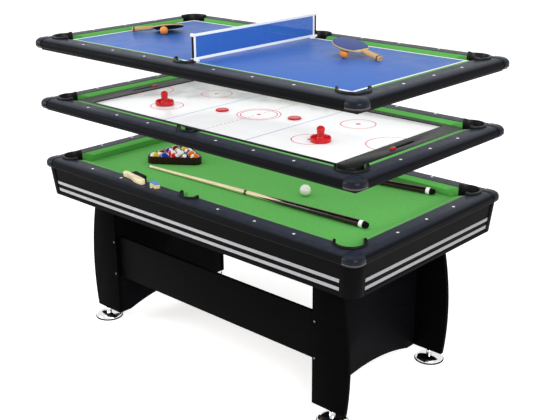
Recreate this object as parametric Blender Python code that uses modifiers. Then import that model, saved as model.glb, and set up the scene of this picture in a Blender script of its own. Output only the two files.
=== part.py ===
"""Multi game table: a pool table on panel legs, a slide hockey top and a table tennis top above it.

Metres, +Z up. The floor is z = 0 and the origin is under the middle of the table.
Heights of everything above the legs are counted from the rail top of its own tier.
"""
import math

import bmesh
import bpy
from mathutils import Matrix, Vector

# Playing field and the height of each tier
play_length = 1.600
play_width = 0.750
rail_top = 0.800
hockey_rise = 0.280
tennis_rise = 0.555

# Gap that parts which touch keep between them
seat_gap = 0.0003
cut_overrun = 0.010
smooth_angle = math.radians(35.0)
join_overlap = 0.0015

# Rails
rail_width = 0.118
cushion_reach = 0.035
rail_flat = 0.048
rail_height = 0.042
shoulder_drop = 0.024
rail_lip_height = 0.006
rail_lip_step = 0.005
shoulder_steps = 4

# Cushions
nose_drop = 0.010
nose_height = 0.004
cushion_crown = 0.002
cushion_fall = 0.004
cushion_crown_reach = 0.012
cushion_foot_reach = 0.010
corner_mouth = 0.075
side_mouth = 0.056
corner_mouth_slope = 1.0
side_mouth_slope = 0.2

# Corner caps
cap_reach = 0.060
cap_radius = 0.036
cap_proud = 0.002
cap_foot_rise = 0.001
cap_steps = 5

# Pockets
corner_pocket_offset = 0.012
corner_pocket_radius = 0.0525
side_pocket_offset = 0.028
side_pocket_radius = 0.0440
pocket_wall = 0.003
ring_bore_share = 0.25
pocket_lip = 0.0075
pocket_lip_height = 0.009
cup_depth = 0.142
cup_taper = 0.013
cup_shoulder = 0.050
pocket_steps = 16
bore_steps = 24

# Beds and loose tops
bed_thickness = 0.018
cloth_thickness = 0.0012
cloth_margin = 0.050
bed_corner_cut = 0.045
base_thickness = 0.012
base_inset = 0.026
top_margin = 0.004
top_drop = 0.012
top_corner_cut = 0.022
hockey_end_border = 0.090
hockey_side_border = 0.028
hockey_tray_depth = 0.005
tray_edge = 0.0004

# Apron
apron_inset = 0.010
apron_height = 0.130
apron_thickness = 0.018
apron_taper = 0.012
apron_foot_height = 0.012
apron_foot_step = 0.0025
post_radius = 0.045
post_proud = 0.003
post_skirt = 0.0002
post_steps = 6
strip_height = 0.015
strip_thickness = 0.0022
strip_groove = 0.0012
strip_groove_width = 0.0030
strip_end_gap = 0.004
strip_place_shares = (0.52, 0.775)
strip_rib_count = 3

# Underframe, legs and feet
beam_height = 0.060
beam_width = 0.030
beam_inset = 0.010
beam_end_gap = 0.0212
leg_side_inset = 0.035
leg_thickness = 0.020
leg_end_inset = 0.195
leg_width = 0.180
leg_widest_height = 0.240
leg_curve_radius = 1.320
leg_curve_steps = 10
panel_recess = 0.002
panel_thickness = 0.020
arch_height = 0.045
arch_land = 0.050
arch_steps = 12
stretcher_top = 0.437
stretcher_height = 0.203
stretcher_thickness = 0.018
foot_height = 0.045
foot_inset = 0.080
foot_radius = 0.065
foot_rim = 0.006
foot_dome = 0.026
foot_collar_radius = 0.013
foot_stem_radius = 0.005
foot_stem_length = 0.030
foot_travel = 0.012
foot_dome_steps = 4
foot_edge_share = 0.333
foot_steps = 16
stem_clearance = 0.0006

# Balls, rack, cues, chalk and brush
ball_radius = 0.024
ball_slack = 0.0004
ball_contact = 0.0008
ball_rings = 6
ball_segments = 12
cue_ball_rings = 8
cue_ball_segments = 16
rack_rows = 5
rack_wall = 0.007
rack_height = 0.036
rack_corner_steps = 4
rack_angle = math.radians(35.0)
rack_place_shares = (-0.657, -0.035)
cue_ball_place_shares = (0.340, -0.021)
cue_length_share = 0.775
cue_tip_radius = 0.006
cue_butt_radius = 0.0145
cue_joint_radius = 0.0094
cue_bumper_radius = 0.012
cue_bumper_length = 0.016
cue_bumper_end_share = 0.8
cue_bumper_ease_share = 0.333
cue_collar_share = 1.04
cue_tip_end_share = 0.7
cue_ferrule_length = 0.019
cue_joint_share = 0.485
cue_sides = 12
near_cue_tip_shares = (-0.662, -0.496)
near_cue_butt_share = -0.392
far_cue_tip_shares = (-0.684, 0.464)
far_cue_butt_share = 0.947
chalk_size = 0.022
chalk_dish = 0.0025
chalk_dish_share = 0.9
chalk_dish_segments = 16
chalk_dish_rings = 12
chalk_row_share = -0.25
chalk_bevel_steps = 1
chalk_spacing = 0.027
chalk_bevel = 0.0015
chalk_turn = math.radians(20.0)
chalk_place_share = -0.254
chalk_inset = 0.026
brush_length = 0.160
brush_width = 0.022
brush_height = 0.024
brush_wave = 0.005
brush_end_share = 0.75
brush_steps = 12
brush_place_share = -0.411
brush_inset = 0.027
brush_angle = math.radians(-9.0)
bristle_block_length = 0.085
bristle_block_thickness = 0.003
bristle_length = 0.024
bristle_columns = 30
bristle_rows = 10

# Hockey pieces
goal_slot_length = 0.150
goal_slot_width = 0.016
goal_slot_depth = 0.010
goal_slot_share = 0.50
slider_length = 0.024
slider_width = 0.0146
slider_height = 0.016
slider_clearance = 0.002
slider_bevel = 0.002
slider_bevel_steps = 1
pusher_radius = 0.042
pusher_rim = 0.020
pusher_knob_radius = 0.015
pusher_height = 0.063
pusher_dish = 0.010
pusher_wall = 0.006
pusher_ease = 0.002
pusher_knob_steps = 4
pusher_neck_share = 0.85
pusher_root_share = 1.2
pusher_steps = 16
pusher_place_shares = ((-0.550, -0.400), (0.590, -0.400))
puck_radius = 0.029
puck_height = 0.006
puck_bevel = 0.001
puck_steps = 20
puck_place_shares = ((-0.210, -0.150), (0.206, 0.120))

# Table tennis pieces
net_height = 0.104
net_lift_gap = 0.0065
net_tape = 0.011
net_string = 0.0016
net_columns = 30
net_rows = 4
net_thickness = 0.0014
post_width = 0.014
post_depth = 0.006
post_height = 0.113
clamp_foot = 0.030
clamp_foot_height = 0.006
clamp_width = 0.030
clamp_drop = 0.022
clamp_hook = 0.005
clamp_knob_radius = 0.008
clamp_knob_length = 0.014
clamp_knob_steps = 12
paddle_blade = 0.146
paddle_blade_length = 0.152
paddle_ply = 0.006
paddle_rubber = 0.0100
paddle_rubber_inset = 0.0015
paddle_grip_length = 0.088
paddle_grip_width = 0.028
paddle_grip_height = 0.021
paddle_grip_overlap = 0.010
paddle_grip_bevel = 0.0035
paddle_grip_bevel_steps = 2
paddle_heel_share = 0.80
paddle_steps = 24
tennis_ball_radius = 0.019
tennis_ball_segments = 12
tennis_ball_rings = 8
left_paddle_end_shares = (-0.921, -0.192)
left_paddle_angle = math.radians(46.0)
left_paddle_roll = math.radians(16.0)
left_ball_along = 0.150
right_paddle_end_shares = (0.681, 0.328)
right_paddle_angle = math.radians(176.0)
right_ball_along = 0.150
right_ball_aside = 0.046
paddle_seat = 0.0003

# Sizes that follow from those above
half_length = play_length / 2
half_width = play_width / 2
outer_x = half_length + rail_width
outer_y = half_width + rail_width
apron_x = outer_x - apron_inset
apron_y = outer_y - apron_inset
bed_level = -rail_height - seat_gap
bed_top = bed_level - cloth_thickness - seat_gap
bed_bottom = bed_top - bed_thickness
beam_top = bed_bottom - seat_gap
beam_bottom = beam_top - beam_height
leg_top = rail_top + beam_bottom - seat_gap
base_bottom = bed_level - base_thickness
leg_line = half_width - leg_side_inset
leg_inner = half_length - leg_end_inset
leg_widest = leg_inner + leg_width
leg_middle = leg_inner + panel_recess + panel_thickness / 2
foot_line = leg_widest - foot_inset
beam_line = leg_line - beam_inset
cue_length = play_length * cue_length_share
corner_signs = ((1, 1), (-1, 1), (-1, -1), (1, -1))
corner_names = ("right_far", "left_far", "left_near", "right_near")

# Ways an outline is stood up: its own x and y become the two named directions
ALONG_X = Matrix(((0, 0, 1, 0), (1, 0, 0, 0), (0, 1, 0, 0), (0, 0, 0, 1)))
ALONG_Y = Matrix(((1, 0, 0, 0), (0, 0, -1, 0), (0, 1, 0, 0), (0, 0, 0, 1)))
ALONG_Z = Matrix.Identity(4)
HALF_TURN = Matrix.Rotation(math.pi, 4, "Z")
QUARTER_TURN = Matrix.Rotation(math.pi / 2, 4, "Z")

for leftover in list(bpy.data.objects):
    bpy.data.objects.remove(leftover, do_unlink=True)

table = bpy.data.collections.new("multi_game_table")
bpy.context.scene.collection.children.link(table)
cutters = bpy.data.collections.new("cutters")
bpy.context.scene.collection.children.link(cutters)


def finish(name, colour, roughness, metallic=0.0):
    """A plain Principled finish."""
    material = bpy.data.materials.new(name)
    material.use_nodes = True
    shader = material.node_tree.nodes["Principled BSDF"]
    shader.inputs["Base Color"].default_value = (*colour, 1.0)
    shader.inputs["Roughness"].default_value = roughness
    shader.inputs["Metallic"].default_value = metallic
    return material


def add_part(name, mesh, material, parent=None):
    """Shows a mesh as one named part of the table."""
    part = bpy.data.objects.new(name, mesh.copy())
    part.data.name = name
    part.data.materials.clear()
    part.data.materials.append(material)
    part.parent = parent
    table.objects.link(part)
    part.data.shade_smooth()
    part.data.set_sharp_from_angle(angle=smooth_angle)
    return part


def add_empty(name, place):
    """An empty that carries the parts which move together."""
    empty = bpy.data.objects.new(name, None)
    empty.location = place
    table.objects.link(empty)
    return empty


def tidy_mesh(mesh):
    """Welds a mesh's seams and turns its faces outward."""
    shape = bmesh.new()
    shape.from_mesh(mesh)
    bmesh.ops.remove_doubles(shape, verts=shape.verts, dist=0.000001)
    bmesh.ops.recalc_face_normals(shape, faces=shape.faces)
    shape.to_mesh(mesh)
    shape.free()
    return mesh


def settled(thing):
    """The mesh of an object with its modifiers applied; the object goes."""
    bpy.context.view_layer.update()
    seen = thing.evaluated_get(bpy.context.evaluated_depsgraph_get())
    mesh = bpy.data.meshes.new_from_object(seen)
    mesh.transform(thing.matrix_world)
    bpy.data.objects.remove(thing, do_unlink=True)
    return tidy_mesh(mesh)


def extruded(outlines, thickness, way=ALONG_Z):
    """A flat outline, with any holes in it, given a thickness about its plane."""
    curve = bpy.data.curves.new("outline", "CURVE")
    curve.dimensions = "2D"
    curve.fill_mode = "BOTH"
    curve.extrude = thickness / 2
    for outline in outlines:
        spline = curve.splines.new("POLY")
        spline.points.add(len(outline) - 1)
        for point, (u, v) in zip(spline.points, outline):
            point.co = (u, v, 0, 1)
        spline.use_cyclic_u = True
    thing = bpy.data.objects.new("outline", curve)
    table.objects.link(thing)
    mesh = settled(thing)
    mesh.transform(way)
    return mesh


def box(low, high):
    """A box between two corners."""
    shape = bmesh.new()
    bmesh.ops.create_cube(shape, size=1)
    size = [b - a for a, b in zip(low, high)]
    middle = [(a + b) / 2 for a, b in zip(low, high)]
    bmesh.ops.scale(shape, vec=size, verts=shape.verts)
    bmesh.ops.translate(shape, vec=middle, verts=shape.verts)
    mesh = bpy.data.meshes.new("box")
    shape.to_mesh(mesh)
    shape.free()
    return mesh


def turned(profile, steps):
    """A profile of (radius, height) points turned about the upright axis."""
    mesh = bpy.data.meshes.new("profile")
    edges = [(i, i + 1) for i in range(len(profile) - 1)]
    mesh.from_pydata([(r, 0, z) for r, z in profile], edges, [])
    thing = bpy.data.objects.new("profile", mesh)
    table.objects.link(thing)
    screw = thing.modifiers.new("Screw", "SCREW")
    screw.axis = "Z"
    screw.steps = steps
    screw.render_steps = steps
    screw.use_merge_vertices = True
    screw.merge_threshold = 0.00001
    return settled(thing)


def sphere(radius, segments, rings):
    """A ball about the origin."""
    shape = bmesh.new()
    bmesh.ops.create_uvsphere(shape, u_segments=segments, v_segments=rings, radius=radius)
    mesh = bpy.data.meshes.new("sphere")
    shape.to_mesh(mesh)
    shape.free()
    return mesh


def cylinder(radius, low, high, steps):
    """An upright cylinder about the origin."""
    shape = bmesh.new()
    sides = {"segments": steps, "radius1": radius, "radius2": radius}
    bmesh.ops.create_cone(shape, cap_ends=True, depth=high - low, **sides)
    bmesh.ops.translate(shape, vec=(0, 0, (low + high) / 2), verts=shape.verts)
    mesh = bpy.data.meshes.new("cylinder")
    shape.to_mesh(mesh)
    shape.free()
    return mesh


def moved(mesh, matrix):
    """A copy of a mesh, moved by a matrix."""
    copy = mesh.copy()
    copy.transform(matrix)
    return copy


def gathered(pieces):
    """Copies of meshes, each moved by its matrix, in one mesh."""
    shape = bmesh.new()
    for mesh, matrix in pieces:
        copy = mesh.copy()
        copy.transform(matrix)
        shape.from_mesh(copy)
        bpy.data.meshes.remove(copy)
    mesh = bpy.data.meshes.new("gathered")
    shape.to_mesh(mesh)
    shape.free()
    return mesh


def at(x, y, z=0.0):
    """A plain shift."""
    return Matrix.Translation((x, y, z))


def add_cutter(name, mesh):
    """Keeps a mesh as a hidden cutter."""
    cutter = bpy.data.objects.new(name, mesh)
    cutter.hide_render = True
    cutter.display_type = "WIRE"
    cutters.objects.link(cutter)
    return cutter


def combined(mesh, others, operation):
    """A mesh cut by, or joined with, other objects."""
    thing = bpy.data.objects.new("worked", mesh)
    table.objects.link(thing)
    for other in others:
        step = thing.modifiers.new("Boolean", "BOOLEAN")
        step.operation = operation
        step.solver = "EXACT"
        step.object = other
    return settled(thing)


def cut(mesh, tools):
    """A mesh with the cutters' space taken out."""
    return combined(mesh, tools, "DIFFERENCE")


def joined(mesh, *others):
    """A mesh made one body with others that run into it."""
    return combined(mesh, [add_cutter("join", other) for other in others], "UNION")


def bevelled(mesh, width, segments=2):
    """A mesh with its sharp edges rounded."""
    thing = bpy.data.objects.new("worked", mesh)
    table.objects.link(thing)
    bevel = thing.modifiers.new("Bevel", "BEVEL")
    bevel.width = width
    bevel.segments = segments
    bevel.limit_method = "ANGLE"
    return settled(thing)


def arc(centre_u, centre_v, radius, start, end, steps):
    """Points along an arc, from one angle to another."""
    angles = [start + (end - start) * i / steps for i in range(steps + 1)]
    return [(centre_u + radius * math.cos(a), centre_v + radius * math.sin(a)) for a in angles]


def lofted(rings, closed=False):
    """A solid through rings of points; a closed one runs back into its first ring."""
    shape = bmesh.new()
    rows = [[shape.verts.new(point) for point in ring] for ring in rings]
    count = len(rings[0])
    if closed:
        rows.append(rows[0])
    else:
        shape.faces.new(rows[0][::-1])
        shape.faces.new(rows[-1])
    for lower, upper in zip(rows, rows[1:]):
        for i in range(count):
            j = (i + 1) % count
            shape.faces.new((lower[i], lower[j], upper[j], upper[i]))
    mesh = bpy.data.meshes.new("loft")
    shape.to_mesh(mesh)
    shape.free()
    return tidy_mesh(mesh)


def corner_turns(x, y):
    """The four matrices that carry a first-quadrant corner piece to its place."""
    turns = [Matrix.Rotation(k * math.pi / 2, 4, "Z") for k in range(len(corner_signs))]
    return [at(sx * x, sy * y) @ turn for (sx, sy), turn in zip(corner_signs, turns)]


def mitred_bar(section, field_half, low, high, low_slope, high_slope):
    """A section of (reach, height) points along one side, its ends slanted by their slopes."""
    mesh = extruded([[(-(field_half + d), z) for d, z in section]], high - low, ALONG_X)
    mesh.transform(at((low + high) / 2, 0))
    middle = (low + high) / 2
    for vertex in mesh.vertices:
        reach = -vertex.co.y - field_half
        if vertex.co.x > middle:
            vertex.co.x += high_slope * reach
        else:
            vertex.co.x -= low_slope * reach
    return mesh


# Rails: a flat vinyl top, a rounded shoulder and a stepped lower lip
def rail_section():
    """The rail's section, counted outward from the cushion nose."""
    inner = cushion_reach + seat_gap
    flat_end = cushion_reach + rail_flat
    shoulder = rail_width - flat_end
    points = [(inner, -rail_height), (inner, 0)]
    for i in range(shoulder_steps + 1):
        turn = math.pi / 2 * i / shoulder_steps
        points.append((flat_end + shoulder * math.sin(turn), -shoulder_drop * (1 - math.cos(turn))))
    points.append((rail_width, -rail_height + rail_lip_height))
    points.append((rail_width - rail_lip_step, -rail_height + rail_lip_height - rail_lip_step / 2))
    points.append((rail_width - rail_lip_step, -rail_height))
    return points


def cushion_section(foot):
    """The cushion's section: a crowned top, a nose and a face leaning back to its foot."""
    back = cushion_reach
    return [
        (back, foot),
        (cushion_foot_reach, foot),
        (0, -nose_drop - nose_height),
        (0, -nose_drop),
        (cushion_crown_reach, -cushion_fall),
        (back, -cushion_crown),
    ]


pocket_low = -cup_depth - cut_overrun
pocket_high = pocket_lip_height + cut_overrun
bore_roundness = math.cos(math.pi / bore_steps)
corner_bore = corner_pocket_radius + pocket_wall + seat_gap
side_bore = side_pocket_radius + pocket_wall + seat_gap
corner_pocket_x = half_length + corner_pocket_offset
corner_pocket_y = half_width + corner_pocket_offset
side_pocket_y = half_width + side_pocket_offset

cap_from = rail_width - cap_reach
beam_reach = corner_pocket_x - corner_bore - beam_end_gap


def bore_cutter(name, corner_radius, side_radius):
    """A cutter for the six pocket bores."""
    half_step = Matrix.Rotation(math.pi / bore_steps, 4, "Z")
    corner = moved(cylinder(corner_radius / bore_roundness, pocket_low, pocket_high, bore_steps), half_step)
    side = moved(cylinder(side_radius / bore_roundness, pocket_low, pocket_high, bore_steps), half_step)
    bores = [(corner, turn) for turn in corner_turns(corner_pocket_x, corner_pocket_y)]
    bores += [(side, at(0, side_pocket_y)), (side, at(0, -side_pocket_y))]
    return add_cutter(name, gathered(bores))


def cap_cutter(name, inset):
    """A cutter for the four corner caps' places; inset is the joint between cap and rail."""
    reach = cap_reach + cut_overrun
    room = box((-inset, -inset, -rail_height - cut_overrun), (reach, reach, cut_overrun))
    turns = corner_turns(half_length + cap_from, half_width + cap_from)
    return add_cutter(name, gathered([(room, turn) for turn in turns]))


def rail_meshes(joint, tools):
    """The near long rail and the right end rail, mitred, bored for the pockets and cut back for the caps."""
    long_rail = mitred_bar(rail_section(), half_width, -half_length + joint, half_length - joint, 1.0, 1.0)
    end_rail = mitred_bar(rail_section(), half_length, -half_width + joint, half_width - joint, 1.0, 1.0)
    end_rail.transform(QUARTER_TURN)
    return cut(long_rail, tools), cut(end_rail, tools)


def cushion_meshes(foot):
    """Four long cushions and two end cushions, their ends cut to open the pockets."""
    section = cushion_section(foot)
    low = side_mouth
    high = half_length - corner_mouth
    long_cushion = mitred_bar(section, half_width, low, high, side_mouth_slope, corner_mouth_slope)
    other_long = mitred_bar(section, half_width, -high, -low, corner_mouth_slope, side_mouth_slope)
    end_half = half_width - corner_mouth
    slope = corner_mouth_slope
    end_cushion = mitred_bar(section, half_length, -end_half, end_half, slope, slope)
    placed = [(mesh, turn) for turn in (ALONG_Z, HALF_TURN) for mesh in (long_cushion, other_long)]
    placed += [(end_cushion, QUARTER_TURN), (end_cushion, QUARTER_TURN.inverted())]
    return [moved(mesh, turn) for mesh, turn in placed]


def cap_ring(inset, height):
    """The corner cap's outline at one height, drawn in from its outer faces."""
    straight = cap_reach - cap_radius
    radius = cap_radius + cap_proud - inset
    curve = arc(straight, straight, radius, math.pi / 2, 0, cap_steps)
    outer = cap_reach + cap_proud - inset
    outline = [(0, 0), (0, outer), *curve, (outer, 0)]
    return [(u, v, height) for u, v in reversed(outline)]


def cap_mesh():
    """A moulded corner cap that carries the rail's section round the corner."""
    shoulder = rail_width - cushion_reach - rail_flat
    rings = [cap_ring(rail_lip_step, -rail_height + cap_foot_rise)]
    rings.append(cap_ring(0, -rail_height + rail_lip_height))
    for i in range(shoulder_steps, -1, -1):
        turn = math.pi / 2 * i / shoulder_steps
        height = cap_proud - shoulder_drop * (1 - math.cos(turn))
        rings.append(cap_ring(shoulder * (1 - math.sin(turn)), height))
    return lofted(rings)


def liner_profile(radius, seat, cup):
    """A pocket liner's profile: a rolled lip, a sleeve through the rail and, where asked, a closed cup."""
    outer = radius + pocket_wall
    lip = outer + pocket_lip
    mouth = [
        (radius, pocket_lip_height - pocket_wall),
        (outer, pocket_lip_height),
        (lip - pocket_wall, pocket_lip_height),
        (lip, pocket_lip_height - pocket_wall),
        (lip, seat),
        (outer, seat),
    ]
    if not cup:
        foot = -rail_height + join_overlap
        return [(radius, foot), *mouth, (outer, foot), (radius, foot)]
    floor = radius - cup_taper
    shoulder = -cup_depth + cup_shoulder
    inside = [(0, -cup_depth + pocket_wall), (floor - pocket_wall, -cup_depth + pocket_wall)]
    inside.append((radius - pocket_wall, shoulder))
    outside = [(outer, bed_bottom), (outer - pocket_wall, shoulder), (floor, -cup_depth), (0, -cup_depth)]
    return [*inside, (radius, bed_level), *mouth, *outside]


def liner_meshes(seat, cup):
    """A corner liner and a side liner, open towards the field above the bed."""
    joint = cushion_reach - (seat_gap if cup else join_overlap)
    reach = corner_bore + pocket_lip + cut_overrun
    low = bed_level if cup else bed_level - cut_overrun
    quadrant = joint - corner_pocket_offset
    corner_room = box((-reach, -reach, low), (quadrant, quadrant, pocket_high))
    side_room = box((-reach, -reach, low), (reach, joint - side_pocket_offset, pocket_high))
    half_step = Matrix.Rotation(math.pi / pocket_steps, 4, "Z")
    corner = moved(turned(liner_profile(corner_pocket_radius, seat, cup), pocket_steps), half_step)
    side = moved(turned(liner_profile(side_pocket_radius, seat, cup), pocket_steps), half_step)
    corner = cut(corner, [add_cutter("corner_mouth", corner_room)])
    return corner, cut(side, [add_cutter("side_mouth", side_room)])


def rail_ring_mesh():
    """An upper tier's rails, corner caps and pocket rings as one moulded ring."""
    inside = pocket_wall * ring_bore_share
    bores = bore_cutter("ring_bores", corner_pocket_radius + inside, side_pocket_radius + inside)
    tools = [bores, cap_cutter("ring_cap_rooms", -join_overlap)]
    frames = [
        [(sx * (half_length + reach), sy * (half_width + reach), z) for sx, sy in corner_signs]
        for reach, z in rail_section()
    ]
    rails = cut(lofted(frames, closed=True), tools)
    corner, side = liner_meshes(-join_overlap, False)
    cap = cap_mesh()
    others = [moved(cap, turn) for turn in corner_turns(half_length + cap_from, half_width + cap_from)]
    others += [moved(corner, turn) for turn in corner_turns(corner_pocket_x, corner_pocket_y)]
    others += [moved(side, at(0, side_pocket_y)), moved(side, at(0, -side_pocket_y) @ HALF_TURN)]
    return joined(rails, *others)


vinyl = finish("rail_vinyl", (0.035, 0.038, 0.050), 0.42)
cap_gloss = finish("cap_plastic", (0.020, 0.024, 0.035), 0.18)
cloth_green = finish("green_cloth", (0.105, 0.400, 0.090), 0.90)
black_plastic = finish("black_plastic", (0.014, 0.014, 0.016), 0.45)
black_board = finish("black_board", (0.016, 0.015, 0.015), 0.50)
raw_board = finish("raw_board", (0.300, 0.220, 0.140), 0.80)
chrome = finish("chrome", (0.800, 0.800, 0.820), 0.08, 1.0)
rack_wood = finish("rack_wood", (0.060, 0.008, 0.010), 0.25)
ball_gloss = finish("ball_gloss", (0.620, 0.060, 0.040), 0.10)
cue_ball_white = finish("cue_ball_white", (0.860, 0.850, 0.800), 0.10)
maple = finish("cue_maple", (0.780, 0.610, 0.380), 0.30)
chalk_blue = finish("chalk_blue", (0.120, 0.260, 0.620), 0.90)
brush_wood = finish("brush_wood", (0.800, 0.700, 0.460), 0.45)
bristle_black = finish("bristle_black", (0.012, 0.012, 0.012), 0.60)
field_white = finish("field_white", (0.860, 0.870, 0.890), 0.25)
toy_red = finish("moulded_red", (0.720, 0.012, 0.018), 0.25)
board_blue = finish("board_blue", (0.060, 0.160, 0.520), 0.45)
net_blue = finish("net_blue", (0.050, 0.180, 0.560), 0.70)
clamp_black = finish("clamp_black", (0.015, 0.015, 0.015), 0.40)
paddle_rubber_dark = finish("paddle_rubber", (0.020, 0.024, 0.050), 0.60)
ball_orange = finish("ball_orange", (0.900, 0.360, 0.050), 0.35)

pool = add_empty("pool_tier", (0, 0, rail_top))
hockey = add_empty("hockey_tier", (0, 0, rail_top + hockey_rise))
tennis = add_empty("tennis_tier", (0, 0, rail_top + tennis_rise))

bore_tool = bore_cutter("pocket_bores", corner_bore, side_bore)
long_rail, end_rail = rail_meshes(seat_gap / 2, [bore_tool, cap_cutter("cap_rooms", seat_gap)])
add_part("pool_rail_near", long_rail, vinyl, pool)
add_part("pool_rail_far", moved(long_rail, HALF_TURN), vinyl, pool)
add_part("pool_rail_right", end_rail, vinyl, pool)
add_part("pool_rail_left", moved(end_rail, HALF_TURN), vinyl, pool)
cap = cap_mesh()
corner_liner, side_liner = liner_meshes(seat_gap, True)
cap_turns = corner_turns(half_length + cap_from, half_width + cap_from)
liner_turns = corner_turns(corner_pocket_x, corner_pocket_y)
for corner_name, cap_turn, liner_turn in zip(corner_names, cap_turns, liner_turns):
    add_part("corner_cap_" + corner_name, moved(cap, cap_turn), cap_gloss, pool)
    add_part("corner_pocket_" + corner_name, moved(corner_liner, liner_turn), black_plastic, pool)
add_part("side_pocket_far", moved(side_liner, at(0, side_pocket_y)), black_plastic, pool)
add_part("side_pocket_near", moved(side_liner, at(0, -side_pocket_y) @ HALF_TURN), black_plastic, pool)

ring = rail_ring_mesh()
add_part("hockey_rail_ring", ring, vinyl, hockey)
add_part("tennis_rail_ring", ring, vinyl, tennis)


# Pool bed: a board on its frame of beams, and the cloth with its six cushions
def cut_corner_outline(half_x, half_y, corner):
    """A rectangle with its corners cut off."""
    outline = []
    for sx, sy in corner_signs:
        first = (sx * half_x, sy * (half_y - corner))
        second = (sx * (half_x - corner), sy * half_y)
        outline += [first, second] if sx * sy > 0 else [second, first]
    return outline


def bed_mesh():
    """The bed board, bored for the pockets, with two long beams and three cross beams under it."""
    lean = apron_taper * (bed_level - bed_bottom) / apron_height
    inset = apron_thickness + lean + seat_gap
    board = extruded([cut_corner_outline(apron_x - inset, apron_y - inset, bed_corner_cut)], bed_thickness)
    board.transform(at(0, 0, bed_top - bed_thickness / 2))
    beams = []
    top = bed_bottom + bed_thickness / 2
    for y in (-beam_line, beam_line):
        low = (-beam_reach, y - beam_width / 2, beam_bottom)
        beams.append(box(low, (beam_reach, y + beam_width / 2, top)))
    for x in (-leg_middle, 0, leg_middle):
        low = (x - beam_width / 2, -beam_line, beam_bottom + join_overlap)
        beams.append(box(low, (x + beam_width / 2, beam_line, top - join_overlap)))
    return joined(cut(board, [bore_tool]), *beams)


add_part("pool_bed", bed_mesh(), raw_board, pool)
cloth_x = half_length + cloth_margin
cloth_y = half_width + cloth_margin
cloth = box((-cloth_x, -cloth_y, bed_level - cloth_thickness), (cloth_x, cloth_y, bed_level))
cloth = cut(cloth, [bore_tool])
cloth = joined(cloth, *cushion_meshes(bed_level - cloth_thickness / 2))
add_part("pool_cloth", cloth, cloth_green, pool)


# Apron: four tapered boards, rounded corner posts and two ribbed strips on each side
def drawn_in(mesh):
    """Leans an upright apron piece inward towards its foot."""
    for vertex in mesh.vertices:
        lean = apron_taper * (bed_level - vertex.co.z) / apron_height
        vertex.co.x -= math.copysign(lean, vertex.co.x)
        vertex.co.y -= math.copysign(lean, vertex.co.y)
    return mesh


def apron_board(face, half_span):
    """One apron board with its stepped foot and two ribbed strips, on the near side of a square frame."""
    low = bed_level - apron_height
    section = [
        (-face, bed_level),
        (-face, low + apron_foot_height + apron_foot_step),
        (-face - apron_foot_step, low + apron_foot_height),
        (-face - apron_foot_step, low),
        (-face + apron_thickness, low),
        (-face + apron_thickness, bed_level),
    ]
    board = extruded([section], 2 * half_span, ALONG_X)
    strips = [strip_bar(face, half_span, bed_level - share * apron_height) for share in strip_place_shares]
    return joined(board, *strips)


def strip_bar(face, half_span, middle):
    """One ribbed strip on the near side of a square frame."""
    back = -face + join_overlap
    front = -face - strip_thickness
    pitch = strip_height / strip_rib_count
    low = middle - strip_height / 2
    section = [(back, low), (back, low + strip_height)]
    for i in range(strip_rib_count, 0, -1):
        section.append((front, low + i * pitch))
        section.append((front, low + (i - 1) * pitch + (strip_groove_width if i > 1 else 0)))
        if i > 1:
            section.append((front + strip_groove, low + (i - 1) * pitch + strip_groove_width / 2))
    return extruded([section], 2 * (half_span - strip_end_gap), ALONG_X)


def post_mesh():
    """A rounded corner post, a little proud of the boards that it joins."""
    straight = cap_reach - post_radius
    inner = cap_reach - apron_thickness - join_overlap
    outer = cap_reach + post_proud
    curve = arc(straight, straight, post_radius + post_proud, math.pi / 2, 0, post_steps)
    inside = arc(straight, straight, inner - straight, 0, math.pi / 2, post_steps)
    outline = [(0, outer), *curve, (outer, 0), (inner, 0), *inside, (0, inner)]
    return moved(extruded([outline], apron_height + 2 * post_skirt), at(0, 0, bed_level - apron_height / 2))


post = post_mesh()
post_turns = corner_turns(apron_x - cap_reach, apron_y - cap_reach)
near_apron = apron_board(apron_y, apron_x - cap_reach - seat_gap)
end_board = moved(apron_board(apron_x, apron_y - cap_reach + join_overlap), QUARTER_TURN)
right_apron = joined(end_board, moved(post, post_turns[0]), moved(post, post_turns[3]))
add_part("apron_near", drawn_in(near_apron.copy()), black_board, pool)
add_part("apron_far", drawn_in(moved(near_apron, HALF_TURN)), black_board, pool)
add_part("apron_right", drawn_in(right_apron.copy()), black_board, pool)
add_part("apron_left", drawn_in(moved(right_apron, HALF_TURN)), black_board, pool)


# Legs: panels with a bulging outer edge, arched end panels, one stretcher and levelling feet
def leg_outline():
    """A leg panel's outline in the x-z plane: straight inside, bulging outside."""
    outline = [(leg_inner, foot_height), (leg_inner, leg_top)]
    for i in range(leg_curve_steps + 1):
        z = leg_top + (foot_height - leg_top) * i / leg_curve_steps
        away = z - leg_widest_height
        bulge = leg_curve_radius - math.sqrt(leg_curve_radius ** 2 - away ** 2)
        outline.append((leg_widest - bulge, z))
    return outline


def panel_outline():
    """An end panel's outline in the y-z plane, arched along its foot."""
    half = leg_line - leg_thickness / 2 - seat_gap
    span = half - arch_land
    outline = [(half, foot_height), (half, leg_top), (-half, leg_top), (-half, foot_height)]
    outline.append((-span, foot_height))
    for i in range(1, arch_steps):
        y = -span + 2 * span * i / arch_steps
        outline.append((y, foot_height + arch_height * (1 - (y / span) ** 2)))
    outline.append((span, foot_height))
    return outline


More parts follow.
